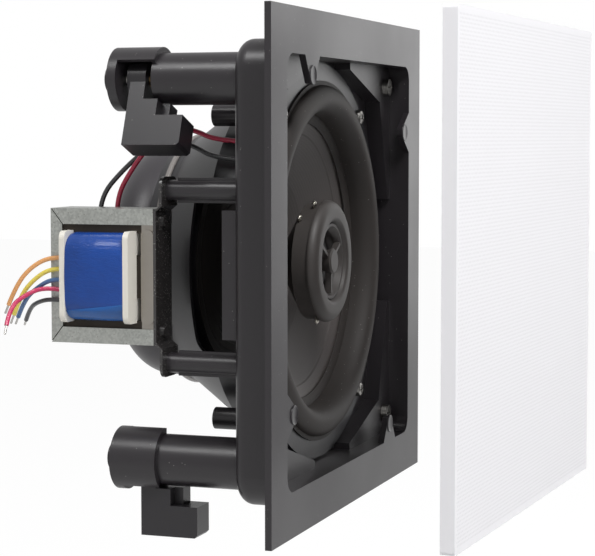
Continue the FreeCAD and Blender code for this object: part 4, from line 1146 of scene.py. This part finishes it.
@dataclass
class Studio:
    """Floor, backdrop light, lamps and the camera at the photograph's angle."""

    camera_place: Point = (-0.8003, -0.2536, 0.0560)
    camera_turn: float = -70.883
    camera_tilt: float = 4.318
    lens: float = 114.16
    sensor: float = 36.0
    nearest: float = 0.01
    floor_height: float = -0.36
    floor_size: float = 12.0
    floor_colour: Colour = (0.86, 0.86, 0.86, 1.0)
    floor_roughness: float = 0.9
    floor_white: float = 0.9
    floor_glow: float = 1.06
    white: Colour = (1.0, 1.0, 1.0, 1.0)
    ambient: float = 0.16
    gloss: float = 0.6
    lamps: tuple[tuple[str, Point, float, float], ...] = (
        ("key", (-0.6, -0.7, 1.3), 0.45, 20.0),
        ("front", (-0.35, -1.6, 0.3), 0.8, 7.0),
        ("strip", (-0.75, 0.4, 1.0), 0.35, 4.5),
        ("side", (1.5, -0.6, 0.3), 1.0, 3.4),
        ("fill", (-1.6, -0.6, 0.2), 0.9, 2.4),
    )

    def build(self) -> None:
        """Set the stage."""
        self.light()
        self.floor()
        self.camera()

    def direct(self, graph: Graph) -> Socket:
        """Tell the rays that meet plain white: 1 for the camera's own, and less for mirrored ones."""
        paths = graph.add("ShaderNodeLightPath").outputs
        gloss = graph.math("MULTIPLY", paths["Is Glossy Ray"], self.gloss)
        return graph.math("MAXIMUM", graph.math("MAXIMUM", paths["Is Camera Ray"], gloss),
                          paths["Is Transmission Ray"])

    def floor(self) -> None:
        """Lay a plain pale floor."""
        Bench.clear()
        bpy.ops.mesh.primitive_plane_add(size=self.floor_size, location=(0.0, 0.0, self.floor_height))
        ground = bpy.context.object
        ground.name = "floor"
        material = bpy.data.materials.new("Floor_Paper")
        material.use_nodes = True
        graph = Graph(material.node_tree)
        nodes = material.node_tree.nodes
        paper = graph.feed(nodes["Principled BSDF"], Base_Color=self.floor_colour,
                           Roughness=self.floor_roughness)
        glow = graph.make("ShaderNodeEmission", Color=self.white, Strength=self.floor_glow)
        either = graph.add("ShaderNodeMixShader")
        share = graph.math("MULTIPLY", self.direct(graph), self.floor_white)
        for socket, value in zip(either.inputs, (share, paper.outputs[0], glow.outputs[0])):
            graph.put(socket, value)
        graph.feed(nodes["Material Output"], Surface=either.outputs[0])
        ground.data.materials.append(material)

    def light(self) -> None:
        """Hang soft lamps above and in front, and a white world behind."""
        world = bpy.data.worlds.new("Studio")
        bpy.context.scene.world = world
        world.use_nodes = True
        graph = Graph(world.node_tree)
        graph.feed(world.node_tree.nodes["Background"], Color=self.white,
                   Strength=graph.between(self.direct(graph), self.ambient, 1.0))
        for name, place, size, power in self.lamps:
            lamp = bpy.data.lights.new(name, "AREA")
            lamp.energy = power
            lamp.size = size
            holder = put_in(name, lamp)
            holder.location = place
            holder.rotation_euler = (-Vector(place)).to_track_quat("-Z", "Y").to_euler()

    def camera(self) -> None:
        """Set the camera where the photograph was taken from."""
        lens = bpy.data.cameras.new("camera")
        lens.lens = self.lens
        lens.sensor_width = self.sensor
        lens.clip_start = self.nearest
        eye = put_in("camera", lens)
        eye.location = self.camera_place
        eye.rotation_euler = (math.radians(90 - self.camera_tilt), 0.0, math.radians(self.camera_turn))
        bpy.context.scene.camera = eye


def main() -> None:
    """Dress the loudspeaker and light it."""
    logging.basicConfig(level=logging.INFO, format="%(name)s: %(message)s")
    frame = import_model()
    Studio().build()
    Wiring().build()
    Casing(frame["nodes"]).build()
    for part in (Surround, Winding, DriverScrews, MagnetCan, TweeterBezel, TweeterTerminals, GrilleCatches):
        part().build()
    bpy.context.scene.view_settings.view_transform = "Standard"


if __name__ == "__main__":
    main()
